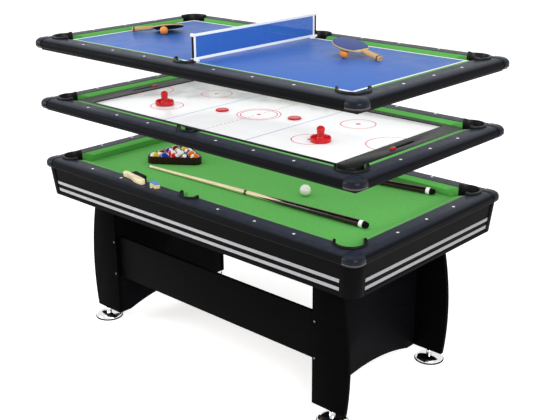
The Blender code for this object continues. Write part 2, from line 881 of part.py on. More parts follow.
stem_hole_top = foot_stem_length + stem_clearance
stem_hole = cylinder(foot_stem_radius + stem_clearance, -cut_overrun, stem_hole_top, foot_steps)
stem_hole.transform(at(foot_line, 0, foot_height))
leg_right = cut(extruded([leg_outline()], leg_thickness, ALONG_Y), [add_cutter("stem_hole", stem_hole)])
leg_left = moved(leg_right, HALF_TURN)
end_panel = extruded([panel_outline()], panel_thickness, ALONG_X)
for side_name, side in (("near", -1), ("far", 1)):
    add_part("leg_right_" + side_name, leg_right, black_board).location = (0, side * leg_line, 0)
    add_part("leg_left_" + side_name, leg_left, black_board).location = (0, side * leg_line, 0)
add_part("end_panel_right", end_panel, black_board).location = (leg_middle, 0, 0)
add_part("end_panel_left", end_panel, black_board).location = (-leg_middle, 0, 0)

stretcher_half = leg_middle - panel_thickness / 2 - seat_gap
stretcher_face = leg_line - leg_thickness / 2 - seat_gap
stretcher_low = (-stretcher_half, -stretcher_face, stretcher_top - stretcher_height)
stretcher_high = (stretcher_half, -stretcher_face + stretcher_thickness, stretcher_top)
add_part("stretcher", box(stretcher_low, stretcher_high), black_board)


def foot_profile():
    """A levelling foot: a domed disc, a collar that seats under the leg and a stem inside it."""
    collar_top = foot_height - seat_gap
    points = [(0, collar_top + foot_stem_length), (foot_stem_radius, collar_top + foot_stem_length)]
    points += [(foot_stem_radius, collar_top), (foot_collar_radius, collar_top)]
    points.append((foot_collar_radius, foot_dome))
    reach = foot_radius - foot_collar_radius
    for i in range(1, foot_dome_steps):
        turn = math.pi / 2 * i / foot_dome_steps
        height = foot_rim + (foot_dome - foot_rim) * math.cos(turn)
        points.append((foot_collar_radius + reach * math.sin(turn), height))
    edge = foot_rim * foot_edge_share
    points += [(foot_radius, foot_rim), (foot_radius, edge), (foot_radius - edge, 0), (0, 0)]
    return points


foot = turned(foot_profile(), foot_steps)
for side_name, side in (("near", -1), ("far", 1)):
    for end_name, end in (("left", -1), ("right", 1)):
        leveller = add_part("leveller_" + end_name + "_" + side_name, foot, chrome)
        leveller.location = (end * foot_line, side * leg_line, 0)


# Balls and rack
def triangle(reach, radius, steps):
    """A triangle with rounded corners; reach is from its middle to the corner arcs' centres."""
    outline = []
    for k in range(3):
        turn = -math.pi / 2 + k * 2 * math.pi / 3
        centre = (reach * math.cos(turn), reach * math.sin(turn))
        outline += arc(*centre, radius, turn - math.pi / 3, turn + math.pi / 3, steps)
    return outline


ball_pitch = 2 * ball_radius + ball_slack
rack_reach = (rack_rows - 1) * ball_pitch / math.sqrt(3)
rack_inner = ball_radius + ball_slack
rack_radii = (rack_inner + rack_wall, rack_inner)
rack_outlines = [triangle(rack_reach, radius, rack_corner_steps) for radius in rack_radii]
rack = extruded(rack_outlines, rack_height)
rack_x = half_length * rack_place_shares[0]
rack_y = half_width * rack_place_shares[1]
rack_turn = Matrix.Rotation(rack_angle + math.pi, 4, "Z")
rack_part = add_part("ball_rack", rack, rack_wood, pool)
rack_part.location = (rack_x, rack_y, bed_level + seat_gap + rack_height / 2)
rack_part.rotation_euler = (0, 0, rack_angle + math.pi)

ball = sphere(ball_radius, ball_segments, ball_rings)
touch_pitch = 2 * ball_radius - ball_contact
racked = []
for row in range(rack_rows):
    for place in range(row + 1):
        x = (place - row / 2) * touch_pitch
        y = (row - 2 * (rack_rows - 1) / 3) * touch_pitch * math.sqrt(3) / 2
        racked.append(moved(ball, rack_turn @ at(x, y)))
balls_part = add_part("object_balls", joined(*racked), ball_gloss, pool)
balls_part.location = (rack_x, rack_y, bed_level + seat_gap + ball_radius)

cue_ball_mesh = sphere(ball_radius, cue_ball_segments, cue_ball_rings)
cue_ball = add_part("cue_ball", cue_ball_mesh, cue_ball_white, pool)
cue_ball.location = (
    half_length * cue_ball_place_shares[0],
    half_width * cue_ball_place_shares[1],
    bed_level + seat_gap + ball_radius,
)


def cue_profile():
    """A cue's radii along its length, from the bumper down to the tip."""
    joint = cue_length * cue_joint_share
    stick = cue_length - cue_bumper_length
    return [
        (0, cue_length),
        (cue_bumper_radius * cue_bumper_end_share, cue_length),
        (cue_bumper_radius, cue_length - cue_bumper_length * cue_bumper_ease_share),
        (cue_bumper_radius, stick),
        (cue_butt_radius, stick),
        (cue_butt_radius, stick - cue_butt_radius),
        (cue_joint_radius * cue_collar_share, joint + cue_joint_radius),
        (cue_joint_radius * cue_collar_share, joint),
        (cue_joint_radius, joint),
        (cue_tip_radius, cue_ferrule_length),
        (cue_tip_radius, cue_tip_radius),
        (cue_tip_radius * cue_tip_end_share, 0),
        (0, 0),
    ]


cue = turned(cue_profile(), cue_sides)
cue_rest = cue_length - cue_bumper_length - cue_butt_radius - cue_tip_radius
cue_tilt = math.atan((cue_butt_radius - cue_tip_radius) / cue_rest)
for cue_name, tip, butt in (
    ("cue_near", near_cue_tip_shares, near_cue_butt_share),
    ("cue_far", far_cue_tip_shares, far_cue_butt_share),
):
    angle = math.asin(half_width * (butt - tip[1]) / cue_length)
    stick = add_part(cue_name, cue, maple, pool)
    stick.location = (half_length * tip[0], half_width * tip[1], bed_level + 2 * seat_gap + cue_tip_radius)
    stick.rotation_euler = (0, math.pi / 2 - cue_tilt, angle)

chalk = box((-chalk_size / 2, -chalk_size / 2, 0), (chalk_size / 2, chalk_size / 2, chalk_size))
chalk = bevelled(chalk, chalk_bevel, chalk_bevel_steps)
dish_radius = chalk_size * chalk_dish_share
dish = sphere(dish_radius, chalk_dish_segments, chalk_dish_rings)
dish.transform(at(0, 0, chalk_size + dish_radius - chalk_dish))
chalk = cut(chalk, [add_cutter("chalk_dish", dish)])
chalk_y = -half_width - cushion_reach - chalk_inset
for k, side_name in enumerate(("left", "right")):
    cube = add_part("chalk_" + side_name, chalk, chalk_blue, pool)
    step = k * chalk_spacing
    cube.location = (half_length * chalk_place_share + step, chalk_y + step * chalk_row_share, seat_gap)
    cube.rotation_euler = (0, 0, chalk_turn * (1 - 2 * k))


# Table brush, lying on its side on the near rail
def brush_outline():
    """The wooden back's outline: a waved grip running into a straight block."""
    front = []
    back = []
    flat = bristle_block_length / 2 + brush_length / brush_steps
    for i in range(brush_steps + 1):
        x = brush_length * (i / brush_steps - 0.5)
        wave = brush_wave * math.sin(2 * math.pi * i / brush_steps)
        slim = brush_width / 2 * (brush_end_share if i in (0, brush_steps) else 1)
        front.append((x, -slim + wave))
        back.append((x, slim + (wave if abs(x) > flat else 0)))
    return [*front, *reversed(back)]


def bristle_mesh():
    """Rows of pointed bristles on a slice of the brush's backing."""
    shape = bmesh.new()
    bmesh.ops.create_cube(shape, size=1)
    size = (bristle_block_length, brush_height, bristle_block_thickness)
    bmesh.ops.scale(shape, vec=size, verts=shape.verts)
    top = [face for face in shape.faces if face.normal.z > 0.5]
    rims = [edge for edge in top[0].edges]
    lengthways = [edge for edge in rims if abs(edge.verts[0].co.x - edge.verts[1].co.x) > 0]
    across = [edge for edge in rims if edge not in lengthways]
    bmesh.ops.delete(shape, geom=top, context="FACES_ONLY")
    bmesh.ops.subdivide_edges(shape, edges=lengthways, cuts=bristle_columns - 1)
    bmesh.ops.subdivide_edges(shape, edges=across, cuts=bristle_rows - 1)
    pad = bmesh.new()
    bmesh.ops.create_grid(pad, x_segments=bristle_columns, y_segments=bristle_rows, size=0.5)
    bmesh.ops.scale(pad, vec=(bristle_block_length, brush_height, 1), verts=pad.verts)
    bmesh.ops.translate(pad, vec=(0, 0, bristle_block_thickness / 2), verts=pad.verts)
    bmesh.ops.poke(pad, faces=pad.faces, offset=bristle_length)
    mesh = bpy.data.meshes.new("bristles")
    pad.to_mesh(mesh)
    shape.from_mesh(mesh)
    shape.to_mesh(mesh)
    pad.free()
    shape.free()
    return tidy_mesh(mesh)


brush = add_empty("table_brush", (0, 0, 0))
brush.parent = pool
brush.location = (half_length * brush_place_share, -half_width - cushion_reach - brush_inset, seat_gap)
brush.rotation_euler = (0, 0, brush_angle)
brush_back = extruded([brush_outline()], brush_height)
brush_back.transform(at(0, 0, brush_height / 2))
add_part("brush_handle", brush_back, brush_wood, brush)
bristles = bristle_mesh()
bristle_seat = brush_width / 2 + seat_gap + bristle_block_thickness / 2
bristles.transform(at(0, bristle_seat, brush_height / 2) @ Matrix.Rotation(-math.pi / 2, 4, "X"))
add_part("brush_bristles", bristles, bristle_black, brush)


# Hockey top: a base board, a bordered tray with score slots, the field, pushers and pucks
def base_mesh():
    """The board under an upper tier's rails, with that tier's six cushions on it."""
    half_x = outer_x - base_inset
    half_y = outer_y - base_inset
    board = box((-half_x, -half_y, base_bottom), (half_x, half_y, bed_level))
    return joined(board, *cushion_meshes(bed_level - join_overlap))


top_x = half_length - top_margin
top_y = half_width - top_margin
top_thickness = -top_drop - bed_level - seat_gap
top_middle = (-top_drop + bed_level + seat_gap) / 2
field_x = top_x - hockey_end_border
field_y = top_y - hockey_side_border
field_level = -top_drop - hockey_tray_depth

base = base_mesh()
add_part("hockey_base", base, cloth_green, hockey)
tray = extruded([
    cut_corner_outline(top_x, top_y, top_corner_cut),
    [(-field_x, -field_y), (field_x, -field_y), (field_x, field_y), (-field_x, field_y)],
], top_thickness)
tray.transform(at(0, 0, top_middle))
slot_x = top_x - hockey_end_border * goal_slot_share
slot = box(
    (-goal_slot_width / 2, -goal_slot_length / 2, -top_drop - goal_slot_depth),
    (goal_slot_width / 2, goal_slot_length / 2, cut_overrun),
)
slots = gathered([(slot, at(-slot_x, 0)), (slot, at(slot_x, 0))])
add_part("hockey_tray", cut(tray, [add_cutter("score_slots", slots)]), black_plastic, hockey)
field = box(
    (tray_edge - field_x, tray_edge - field_y, bed_level + seat_gap),
    (field_x - tray_edge, field_y - tray_edge, field_level),
)
add_part("hockey_field", field, field_white, hockey)

slider_high = (slider_width / 2, slider_length / 2, slider_height)
slider = box((-slider_width / 2, -slider_length / 2, 0), slider_high)
slider = bevelled(slider, slider_bevel, slider_bevel_steps)
slider_end = (goal_slot_length - slider_length) / 2 - slider_clearance
for end_name, end in (("left", -1), ("right", 1)):
    piece = add_part("score_slider_" + end_name, slider, toy_red, hockey)
    piece.location = (end * slot_x, -end * slider_end, -top_drop - goal_slot_depth + seat_gap)


def pusher_profile():
    """A pusher: a rimmed, dished foot with a round knob."""
    rim_in = pusher_radius - pusher_wall
    floor = pusher_rim - pusher_dish
    knob_middle = pusher_height - pusher_knob_radius
    points = []
    for i in range(pusher_knob_steps + 1):
        turn = math.pi / 2 * i / pusher_knob_steps
        height = knob_middle + pusher_knob_radius * math.cos(turn)
        points.append((pusher_knob_radius * math.sin(turn), height))
    points += [
        (pusher_knob_radius * pusher_neck_share, floor + pusher_dish),
        (pusher_knob_radius * pusher_root_share, floor),
        (rim_in, floor),
        (rim_in, pusher_rim - pusher_ease),
        (rim_in + pusher_ease, pusher_rim),
        (pusher_radius - pusher_ease, pusher_rim),
        (pusher_radius, pusher_rim - pusher_ease),
        (pusher_radius, pusher_ease),
        (pusher_radius - pusher_ease, 0),
        (0, 0),
    ]
    return points


pusher = turned(pusher_profile(), pusher_steps)
puck = turned([
    (0, puck_height),
    (puck_radius - puck_bevel, puck_height),
    (puck_radius, puck_height - puck_bevel),
    (puck_radius, puck_bevel),
    (puck_radius - puck_bevel, 0),
    (0, 0),
], puck_steps)
for end_name, shares in zip(("left", "right"), pusher_place_shares):
    piece = add_part("pusher_" + end_name, pusher, toy_red, hockey)
    piece.location = (half_length * shares[0], half_width * shares[1], field_level + seat_gap)
for end_name, shares in zip(("left", "right"), puck_place_shares):
    piece = add_part("puck_" + end_name, puck, toy_red, hockey)
    piece.location = (half_length * shares[0], half_width * shares[1], field_level + seat_gap)


# Table tennis top: a base board, the blue board, the net on its clamps, paddles and balls
add_part("tennis_base", base, cloth_green, tennis)
blue_top = extruded([cut_corner_outline(top_x, top_y, tray_edge)], top_thickness)
blue_top.transform(at(0, 0, top_middle))
add_part("tennis_board", blue_top, board_blue, tennis)

post_inner = top_y - post_depth


def net_mesh():
    """A flat net: square gaps between strings, with a tape along its head and foot."""
    length = 2 * (post_inner - seat_gap)
    gap_y = (length - (net_columns + 1) * net_string) / net_columns
    gap_z = (net_height - 2 * net_tape - (net_rows - 1) * net_string) / net_rows
    shape = bmesh.new()
    bmesh.ops.create_grid(shape, x_segments=2 * net_columns + 1, y_segments=2 * net_rows + 1, size=0.5)
    columns = 2 * net_columns + 1
    rows = 2 * net_rows + 1
    for vertex in shape.verts:
        column = round((vertex.co.x + 0.5) * columns)
        row = round((vertex.co.y + 0.5) * rows)
        y = (column // 2) * (net_string + gap_y) + (column % 2) * net_string
        if row == 0:
            z = 0
        elif row == rows:
            z = net_height
        else:
            z = net_tape + ((row - 1) // 2) * (gap_z + net_string) + ((row - 1) % 2) * gap_z
        vertex.co = (0, y - length / 2, z)
    holes = []
    for face in shape.faces:
        across = max(v.co.y for v in face.verts) - min(v.co.y for v in face.verts)
        up = max(v.co.z for v in face.verts) - min(v.co.z for v in face.verts)
        if abs(across - gap_y) < net_string / 2 and abs(up - gap_z) < net_string / 2:
            holes.append(face)
    bmesh.ops.delete(shape, geom=holes, context="FACES")
    mesh = bpy.data.meshes.new("net")
    shape.to_mesh(mesh)
    shape.free()
    thing = bpy.data.objects.new("net", mesh)
    table.objects.link(thing)
    solid = thing.modifiers.new("Solidify", "SOLIDIFY")
    solid.thickness = net_thickness
    solid.offset = 0
    return settled(thing)


net_rig = add_empty("net_rig", (0, 0, -top_drop + seat_gap))
net_rig.parent = tennis
net = net_mesh()
net.transform(at(0, 0, net_lift_gap))
add_part("net", net, net_blue, net_rig)


def clamp_mesh():
    """A net post on a foot that hooks over the board's edge, with its clamp knob."""
    outer = top_y + seat_gap + clamp_hook
    section = [
        (post_inner - clamp_foot, 0),
        (post_inner - clamp_foot, clamp_foot_height),
        (post_inner, clamp_foot_height),
        (post_inner, post_height),
        (outer, post_height),
        (outer, -clamp_drop),
        (top_y + seat_gap, -clamp_drop),
        (top_y + seat_gap, 0),
    ]
    body = extruded([section], post_width, ALONG_X)
    knob = cylinder(clamp_knob_radius, 0, clamp_knob_length, clamp_knob_steps)
    knob_place = at(0, outer - clamp_hook / 2, -clamp_drop + clamp_knob_radius)
    knob.transform(knob_place @ Matrix.Rotation(-math.pi / 2, 4, "X"))
    wing_high = (clamp_width / 2, outer - tray_edge, clamp_foot_height - tray_edge)
    wings = box((-clamp_width / 2, top_y - clamp_hook, tray_edge), wing_high)
    return joined(body, knob, wings)


clamp = clamp_mesh()
add_part("net_clamp_far", clamp, clamp_black, net_rig)
add_part("net_clamp_near", moved(clamp, HALF_TURN), clamp_black, net_rig)


def paddle_mesh():
    """A paddle along +X from its grip's end: ply blade and neck, rubber on both faces and a round grip."""
    blade_middle = paddle_grip_length + paddle_blade_length / 2
    blade = []
    rubber = []
    for i in range(paddle_steps):
        turn = 2 * math.pi * i / paddle_steps
        u = math.cos(turn)
        v = math.sin(turn)
        blade.append((blade_middle + paddle_blade_length / 2 * u, paddle_blade / 2 * v))
        trim = paddle_blade_length / 2 - paddle_rubber_inset
        edge = max(u, -paddle_heel_share)
        rubber.append((blade_middle + trim * edge, (paddle_blade / 2 - paddle_rubber_inset) * v))
    plate = extruded([blade], paddle_ply)
    pad = extruded([rubber], paddle_rubber)
    grip_low = (0, -paddle_grip_width / 2, -paddle_grip_height / 2)
    grip_high = (paddle_grip_length + paddle_grip_overlap, paddle_grip_width / 2, paddle_grip_height / 2)
    grip = bevelled(box(grip_low, grip_high), paddle_grip_bevel, paddle_grip_bevel_steps)
    return joined(plate, pad, grip)


def add_paddle(side_name, end_shares, angle, roll, pitch, ball_place):
    """A paddle with its grip's end on the board and its blade on a ball along and aside of it."""
    board_level = -top_drop + seat_gap
    end = Vector((half_length * end_shares[0], half_width * end_shares[1], 0))
    heading = Matrix.Rotation(angle, 4, "Z")
    place = end + heading @ Vector((*ball_place, 0))
    ball_part = add_part("tennis_ball_" + side_name, tennis_ball, ball_orange, tennis)
    ball_part.location = (place.x, place.y, board_level + tennis_ball_radius)
    paddle_part = add_part("paddle_" + side_name, paddle, paddle_rubber_dark, tennis)
    turn = Matrix.Rotation(-pitch, 4, "Y") @ Matrix.Rotation(-roll, 4, "X")
    paddle_part.matrix_basis = at(end.x, end.y, board_level + grip_rest(roll)) @ heading @ turn


def grip_rest(roll):
    """The height of the grip's end over the board when the paddle is rolled."""
    return paddle_grip_width / 2 * math.sin(roll) + paddle_grip_height / 2 * math.cos(roll) + paddle_seat


paddle = paddle_mesh()
tennis_ball = sphere(tennis_ball_radius, tennis_ball_segments, tennis_ball_rings)

# The left blade leans on its far edge, which gives its pitch, and then its ball's place
left_edge = paddle_blade / 2 * math.sin(left_paddle_roll) + paddle_seat
left_edge += paddle_rubber / 2 * math.cos(left_paddle_roll)
left_middle = paddle_grip_length + paddle_blade_length / 2
left_pitch = math.asin((left_edge - grip_rest(left_paddle_roll)) / left_middle)
left_cosine = math.cos(left_paddle_roll) * math.cos(left_pitch)
left_over_ball = tennis_ball_radius + (tennis_ball_radius + paddle_rubber / 2 + paddle_seat) / left_cosine
left_rise = left_over_ball - grip_rest(left_paddle_roll) - left_ball_along * math.sin(left_pitch)
left_ball = (left_ball_along, -left_rise / math.tan(left_paddle_roll))
add_paddle("left", left_paddle_end_shares, left_paddle_angle, left_paddle_roll, left_pitch, left_ball)

# The right blade lies level across, on its ball
right_lift = tennis_ball_radius - grip_rest(0)
right_reach = math.hypot(right_ball_along, right_lift)
right_clear = tennis_ball_radius + paddle_rubber / 2 + paddle_seat
right_pitch = math.atan2(right_lift, right_ball_along) + math.asin(right_clear / right_reach)
right_ball = (right_ball_along, right_ball_aside)
add_paddle("right", right_paddle_end_shares, right_paddle_angle, 0, right_pitch, right_ball)
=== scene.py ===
"""Multi game table: a pool table with a slide hockey top and a table tennis top raised above it.

Everything is in metres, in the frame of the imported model: the floor is z = 0, X runs along the
table and the near long side faces -Y.
"""

import logging
import math
from dataclasses import dataclass
from enum import Enum
from typing import Iterable, Sequence

import bmesh
import bpy
from mathutils import Matrix, Vector


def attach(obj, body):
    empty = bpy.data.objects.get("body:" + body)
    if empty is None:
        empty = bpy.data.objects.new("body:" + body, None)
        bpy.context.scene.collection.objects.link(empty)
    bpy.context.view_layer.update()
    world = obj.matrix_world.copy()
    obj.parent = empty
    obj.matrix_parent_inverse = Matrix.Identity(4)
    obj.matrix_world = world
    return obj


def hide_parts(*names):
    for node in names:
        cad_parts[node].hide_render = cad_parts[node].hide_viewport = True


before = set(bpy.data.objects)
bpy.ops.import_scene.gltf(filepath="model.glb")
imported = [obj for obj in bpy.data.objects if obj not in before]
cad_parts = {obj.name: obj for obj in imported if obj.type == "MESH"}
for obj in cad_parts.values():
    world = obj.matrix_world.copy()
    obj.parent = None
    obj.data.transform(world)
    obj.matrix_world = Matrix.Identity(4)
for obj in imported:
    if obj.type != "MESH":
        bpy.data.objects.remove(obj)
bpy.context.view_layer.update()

logging.basicConfig(level=logging.INFO, format="%(message)s")
log = logging.getLogger("game_table")

Colour = tuple[float, float, float]
Flat = tuple[float, float]
Point = tuple[float, float, float]
Mesh = bpy.types.Mesh
Socket = bpy.types.NodeSocket

# The playing area's half sizes, the heights of the tiers' rail tops, and the beds and boards below them.
PLAY_X = 0.800
PLAY_Y = 0.375
POOL_TOP = 0.800
HOCKEY_TOP = 1.080
TENNIS_TOP = 1.355
BED = -0.0423
BOARD_TOP = -0.012

# The air under a piece that rests on another, and the gap between pieces that meet.
SEAT = 0.0003
JOINT = 0.0004

# The corners, in the order in which a quarter turn carries a corner piece round.
CORNERS = ((1, 1), (-1, 1), (-1, -1), (1, -1))
CORNER_NAMES = ("right_far", "left_far", "left_near", "right_near")

# Angles, and the values that every material's noise and relief share.
FULL_TURN = 2 * math.pi
SMOOTH_ANGLE = math.radians(32)
NOISE_RANGE = (0.30, 0.70)
RELIEF_DEPTH = 0.0004
EVEN = (1.0, 1.0, 1.0)


class Grain(Enum):
    """How a finish's fine surface runs."""

    MOULDED = "moulded"
    FELT = "felt"
    TIMBER = "timber"
    BRUSHED = "brushed"


# The scale and detail of each grain's noise; timber's scale is a multiple of the finish's own.
GRAIN_NOISE = {
    Grain.MOULDED: (700.0, 5.0),
    Grain.FELT: (2600.0, 8.0),
    Grain.TIMBER: (3.0, 9.0),
    Grain.BRUSHED: (900.0, 4.0),
}


@dataclass(frozen=True)
class Finish:
    """A surface: its colour and gloss, and the fine grain that breaks them up."""

    name: str
    colour: Colour
    roughness: float
    metallic: float = 0.0
    grain: Grain = Grain.MOULDED
    mottle: float = 0.10
    scale: float = 60.0
    relief: float = 0.08
    along: Point = EVEN
    coat: float = 0.0
    sheen: float = 0.0
    specular: float = 0.5
    coat_roughness: float = 0.06
    smoother: float = 0.06
    rougher: float = 0.08
    smoothest: float = 0.02

    def material(self) -> bpy.types.Material:
        """Build the node material, or fetch it if it is made already.

        Returns:
            The material, with colour variation, roughness variation and relief from noise.
        """
        made = bpy.data.materials.get(self.name)
        if made:
            return made
        graph = NodeGraph(self.name)
        shader = graph.shader
        shader.inputs["Metallic"].default_value = self.metallic
        shader.inputs["Coat Weight"].default_value = self.coat
        shader.inputs["Coat Roughness"].default_value = self.coat_roughness
        shader.inputs["Sheen Weight"].default_value = self.sheen
        shader.inputs["Specular IOR Level"].default_value = self.specular
        noise = graph.noise(self.scale, self.along)
        colour = graph.tint(noise, self.colour, self.mottle)
        graph.link(self.pattern(graph, colour), shader.inputs["Base Color"])
        low = max(self.smoothest, self.roughness - self.smoother)
        high = min(1.0, self.roughness + self.rougher)
        graph.link(graph.ramp(noise, low, high), shader.inputs["Roughness"])
        fine = self.fine_grain(graph)
        graph.link(graph.bump(fine, self.relief), shader.inputs["Normal"])
        return graph.material

    def fine_grain(self, graph: "NodeGraph") -> Socket:
        """Pick the noise that gives the surface its relief.

        Args:
            graph: the material's nodes.

        Returns:
            A height socket.
        """
        scale, detail = GRAIN_NOISE[self.grain]
        if self.grain is Grain.TIMBER:
            scale *= self.scale
        along = self.along if self.grain in (Grain.TIMBER, Grain.BRUSHED) else EVEN
        return graph.noise(scale, along, detail)

    def pattern(self, graph: "NodeGraph", colour: Socket) -> Socket:
        """Lay a pattern over the base colour; a plain finish has none."""
        return colour


class NodeGraph:
    """A material's nodes, with short calls for the ones that every finish uses."""

    def __init__(self, name: str) -> None:
        """Start a material of the given name.

        Args:
            name: the material's name.
        """
        self.material = bpy.data.materials.new(name)
        self.material.use_nodes = True
        self.nodes = self.material.node_tree.nodes
        self.shader = self.nodes["Principled BSDF"]
        self.place = self.nodes.new("ShaderNodeTexCoord").outputs["Object"]

    def link(self, source: Socket, target: Socket) -> None:
        """Join an output to an input."""
        self.material.node_tree.links.new(source, target)

    def noise(self, scale: float, along: Point, detail: float = 4.0) -> Socket:
        """Add noise in the object's own space.

        Args:
            scale: cycles per metre.
            along: the share of that scale along each axis.
            detail: octaves.

        Returns:
            A value socket about 0.5.
        """
        mapping = self.nodes.new("ShaderNodeMapping")
        mapping.inputs["Scale"].default_value = along
        self.link(self.place, mapping.inputs["Vector"])
        noise = self.nodes.new("ShaderNodeTexNoise")
        noise.inputs["Scale"].default_value = scale
        noise.inputs["Detail"].default_value = detail
        self.link(mapping.outputs["Vector"], noise.inputs["Vector"])
        return noise.outputs["Fac"]

    def ramp(self, value: Socket, low: float, high: float) -> Socket:
        """Map a value of about 0.3 to 0.7 onto a range.

        Args:
            value: the socket to map.
            low: the range's start.
            high: the range's end.

        Returns:
            A value socket.
        """
        spread = self.nodes.new("ShaderNodeMapRange")
        spread.inputs["From Min"].default_value = NOISE_RANGE[0]
        spread.inputs["From Max"].default_value = NOISE_RANGE[1]
        spread.inputs["To Min"].default_value = low
        spread.inputs["To Max"].default_value = high
        self.link(value, spread.inputs["Value"])
        return spread.outputs["Result"]

    def tint(self, value: Socket, colour: Colour, mottle: float) -> Socket:
        """Vary a colour's brightness with a value.

        Args:
            value: the socket that drives the variation.
            colour: the middle colour.
            mottle: the share of brightness that it varies by.

        Returns:
            A colour socket.
        """
        dark = tuple(c * (1 - mottle) for c in colour)
        light = tuple(min(1.0, c * (1 + mottle)) for c in colour)
        return self.mix(self.ramp(value, 0.0, 1.0), dark, light)

    def mix(self, factor: Socket, first: object, second: object) -> Socket:
        """Mix two colours, each a plain colour or a socket.

        Args:
            factor: 0 gives the first colour and 1 the second.
            first: a colour or a colour socket.
            second: a colour or a colour socket.

        Returns:
            A colour socket.
        """
        node = self.nodes.new("ShaderNodeMix")
        node.data_type = "RGBA"
        self.link(factor, node.inputs["Factor"])
        self.put(node.inputs["A"], first)
        self.put(node.inputs["B"], second)
        return node.outputs["Result"]

    def put(self, socket: Socket, value: object) -> None:
        """Set a socket to a value, or link another socket to it.

        Args:
            socket: the input.
            value: a number, a colour or an output socket.
        """
        if isinstance(value, Socket):
            self.link(value, socket)
        elif isinstance(value, tuple):
            socket.default_value = (*value, 1.0) if len(socket.default_value) == 4 else value
        else:
            socket.default_value = value

    def math(self, operation: str, *values: object) -> Socket:
        """Add a math node.

        Args:
            operation: its operation's name.
            values: numbers or sockets.

        Returns:
            A value socket.
        """
        node = self.nodes.new("ShaderNodeMath")
        node.operation = operation
        for socket, value in zip(node.inputs, values):
            self.put(socket, value)
        return node.outputs["Value"]

    def axes(self) -> tuple[Socket, ...]:
        """Split the object space position.

        Returns:
            Its X, Y and Z.
        """
        parts = self.nodes.new("ShaderNodeSeparateXYZ")
        self.link(self.place, parts.inputs["Vector"])
        return parts.outputs["X"], parts.outputs["Y"], parts.outputs["Z"]

    def bump(self, height: Socket, strength: float) -> Socket:
        """Turn a height into a relief.

        Args:
            height: the height socket.
            strength: the relief's strength.

        Returns:
            A normal socket.
        """
        node = self.nodes.new("ShaderNodeBump")
        node.inputs["Strength"].default_value = strength
        node.inputs["Distance"].default_value = RELIEF_DEPTH
        self.link(height, node.inputs["Height"])
        return node.outputs["Normal"]


@dataclass(frozen=True)
class StripedBall(Finish):
    """A ball's gloss, in one colour or as a band on ivory, with a pale round spot at each end."""

    band: bool = False
    radius: float = 0.024
    ivory: Colour = (0.88, 0.86, 0.78)
    band_share: float = 0.55
    spot_share: float = 0.90

    def pattern(self, graph: NodeGraph, colour: Socket) -> Socket:
        """Keep the colour to a band about the equator, and add two pale spots on the X axis.

        Args:
            graph: the material's nodes.
            colour: the base colour, already varied.

        Returns:
            The colour to use.
        """
        x, _, z = graph.axes()
        if self.band:
            inside = graph.math("LESS_THAN", graph.math("ABSOLUTE", z), self.radius * self.band_share)
            colour = graph.mix(inside, self.ivory, colour)
        spot = graph.math("GREATER_THAN", graph.math("ABSOLUTE", x), self.radius * self.spot_share)
        return graph.mix(spot, colour, self.ivory)


@dataclass(frozen=True)
class CueWood(Finish):
    """A cue's wood: pale ash running in long points into a dark butt."""

    dark: Colour = (0.014, 0.004, 0.005)
    point_foot: float = 0.680
    point_length: float = 0.145
    points: float = 4.0
    veneer: Colour = (0.30, 0.05, 0.03)
    veneer_offset: float = 0.02
    veneer_reach: float = 0.035

    def pattern(self, graph: NodeGraph, colour: Socket) -> Socket:
        """Let the dark butt reach up the cue in points, each edged with a veneer.

        Args:
            graph: the material's nodes.
            colour: the pale wood, already varied.

        Returns:
            The colour to use.
        """
        x, y, z = graph.axes()
        turn = graph.math("MULTIPLY", graph.math("ARCTAN2", y, x), self.points / FULL_TURN)
        saw = graph.math("PINGPONG", turn, 0.5)
        reach = graph.math("SUBTRACT", z, self.point_foot)
        share = graph.math("DIVIDE", reach, self.point_length)
        rise = graph.math("SUBTRACT", share, graph.math("MULTIPLY", saw, 2.0))
        dark = graph.math("GREATER_THAN", rise, 0.0)
        off_edge = graph.math("ABSOLUTE", graph.math("ADD", rise, self.veneer_offset))
        edge = graph.math("LESS_THAN", off_edge, self.veneer_reach)
        body = graph.mix(dark, colour, self.dark)
        return graph.mix(edge, body, self.veneer)


@dataclass(frozen=True)
class RailFinish(Finish):
    """A rail's or cap's surface: navy on its flat top, with painted shade that turns it near black where it
    rolls over.
    """

    # Painted shade: the near-black colour and the lower specular level that the rounded shoulder takes below
    # the flat top.
    shoulder_shade: Colour = (0.0050, 0.0052, 0.0066)
    shoulder_shade_specular: float = 0.03
    start: float = 0.002
    blend: float = 0.009
    # A pale line near the foot: on the caps it is in part a trim and in part a painted highlight; on the
    # rails it is the same near black as the painted shade.
    trim: Colour = (0.0050, 0.0052, 0.0066)
    trim_top: float = 0.031
    trim_foot: float = 0.036

    def pattern(self, graph: NodeGraph, colour: Socket) -> Socket:
        """Turn from navy to near black below the flat top as painted shade, with a trim line near the lower
        edge that is in part a painted highlight.

        Args:
            graph: the material's nodes.
            colour: the flat top's colour, already varied.

        Returns:
            The colour to use.
        """
        _, _, z = graph.axes()
        # Painted shade: colour and specular level fall off to near black from just below the flat top down
        # the shoulder.
        share = graph.math("MULTIPLY_ADD", z, -1.0 / self.blend, -self.start / self.blend)
        body = graph.mix(share, colour, self.shoulder_shade)
        dim = graph.math("MINIMUM", graph.math("MAXIMUM", share, 0.0), 1.0)
        level = graph.math("MULTIPLY_ADD", dim, self.shoulder_shade_specular - self.specular, self.specular)
        graph.link(level, graph.shader.inputs["Specular IOR Level"])
        # The pale line near the foot, in part a painted highlight.
        under = graph.math("LESS_THAN", z, -self.trim_top)
        over = graph.math("GREATER_THAN", z, -self.trim_foot)
        return graph.mix(graph.math("MULTIPLY", under, over), body, self.trim)


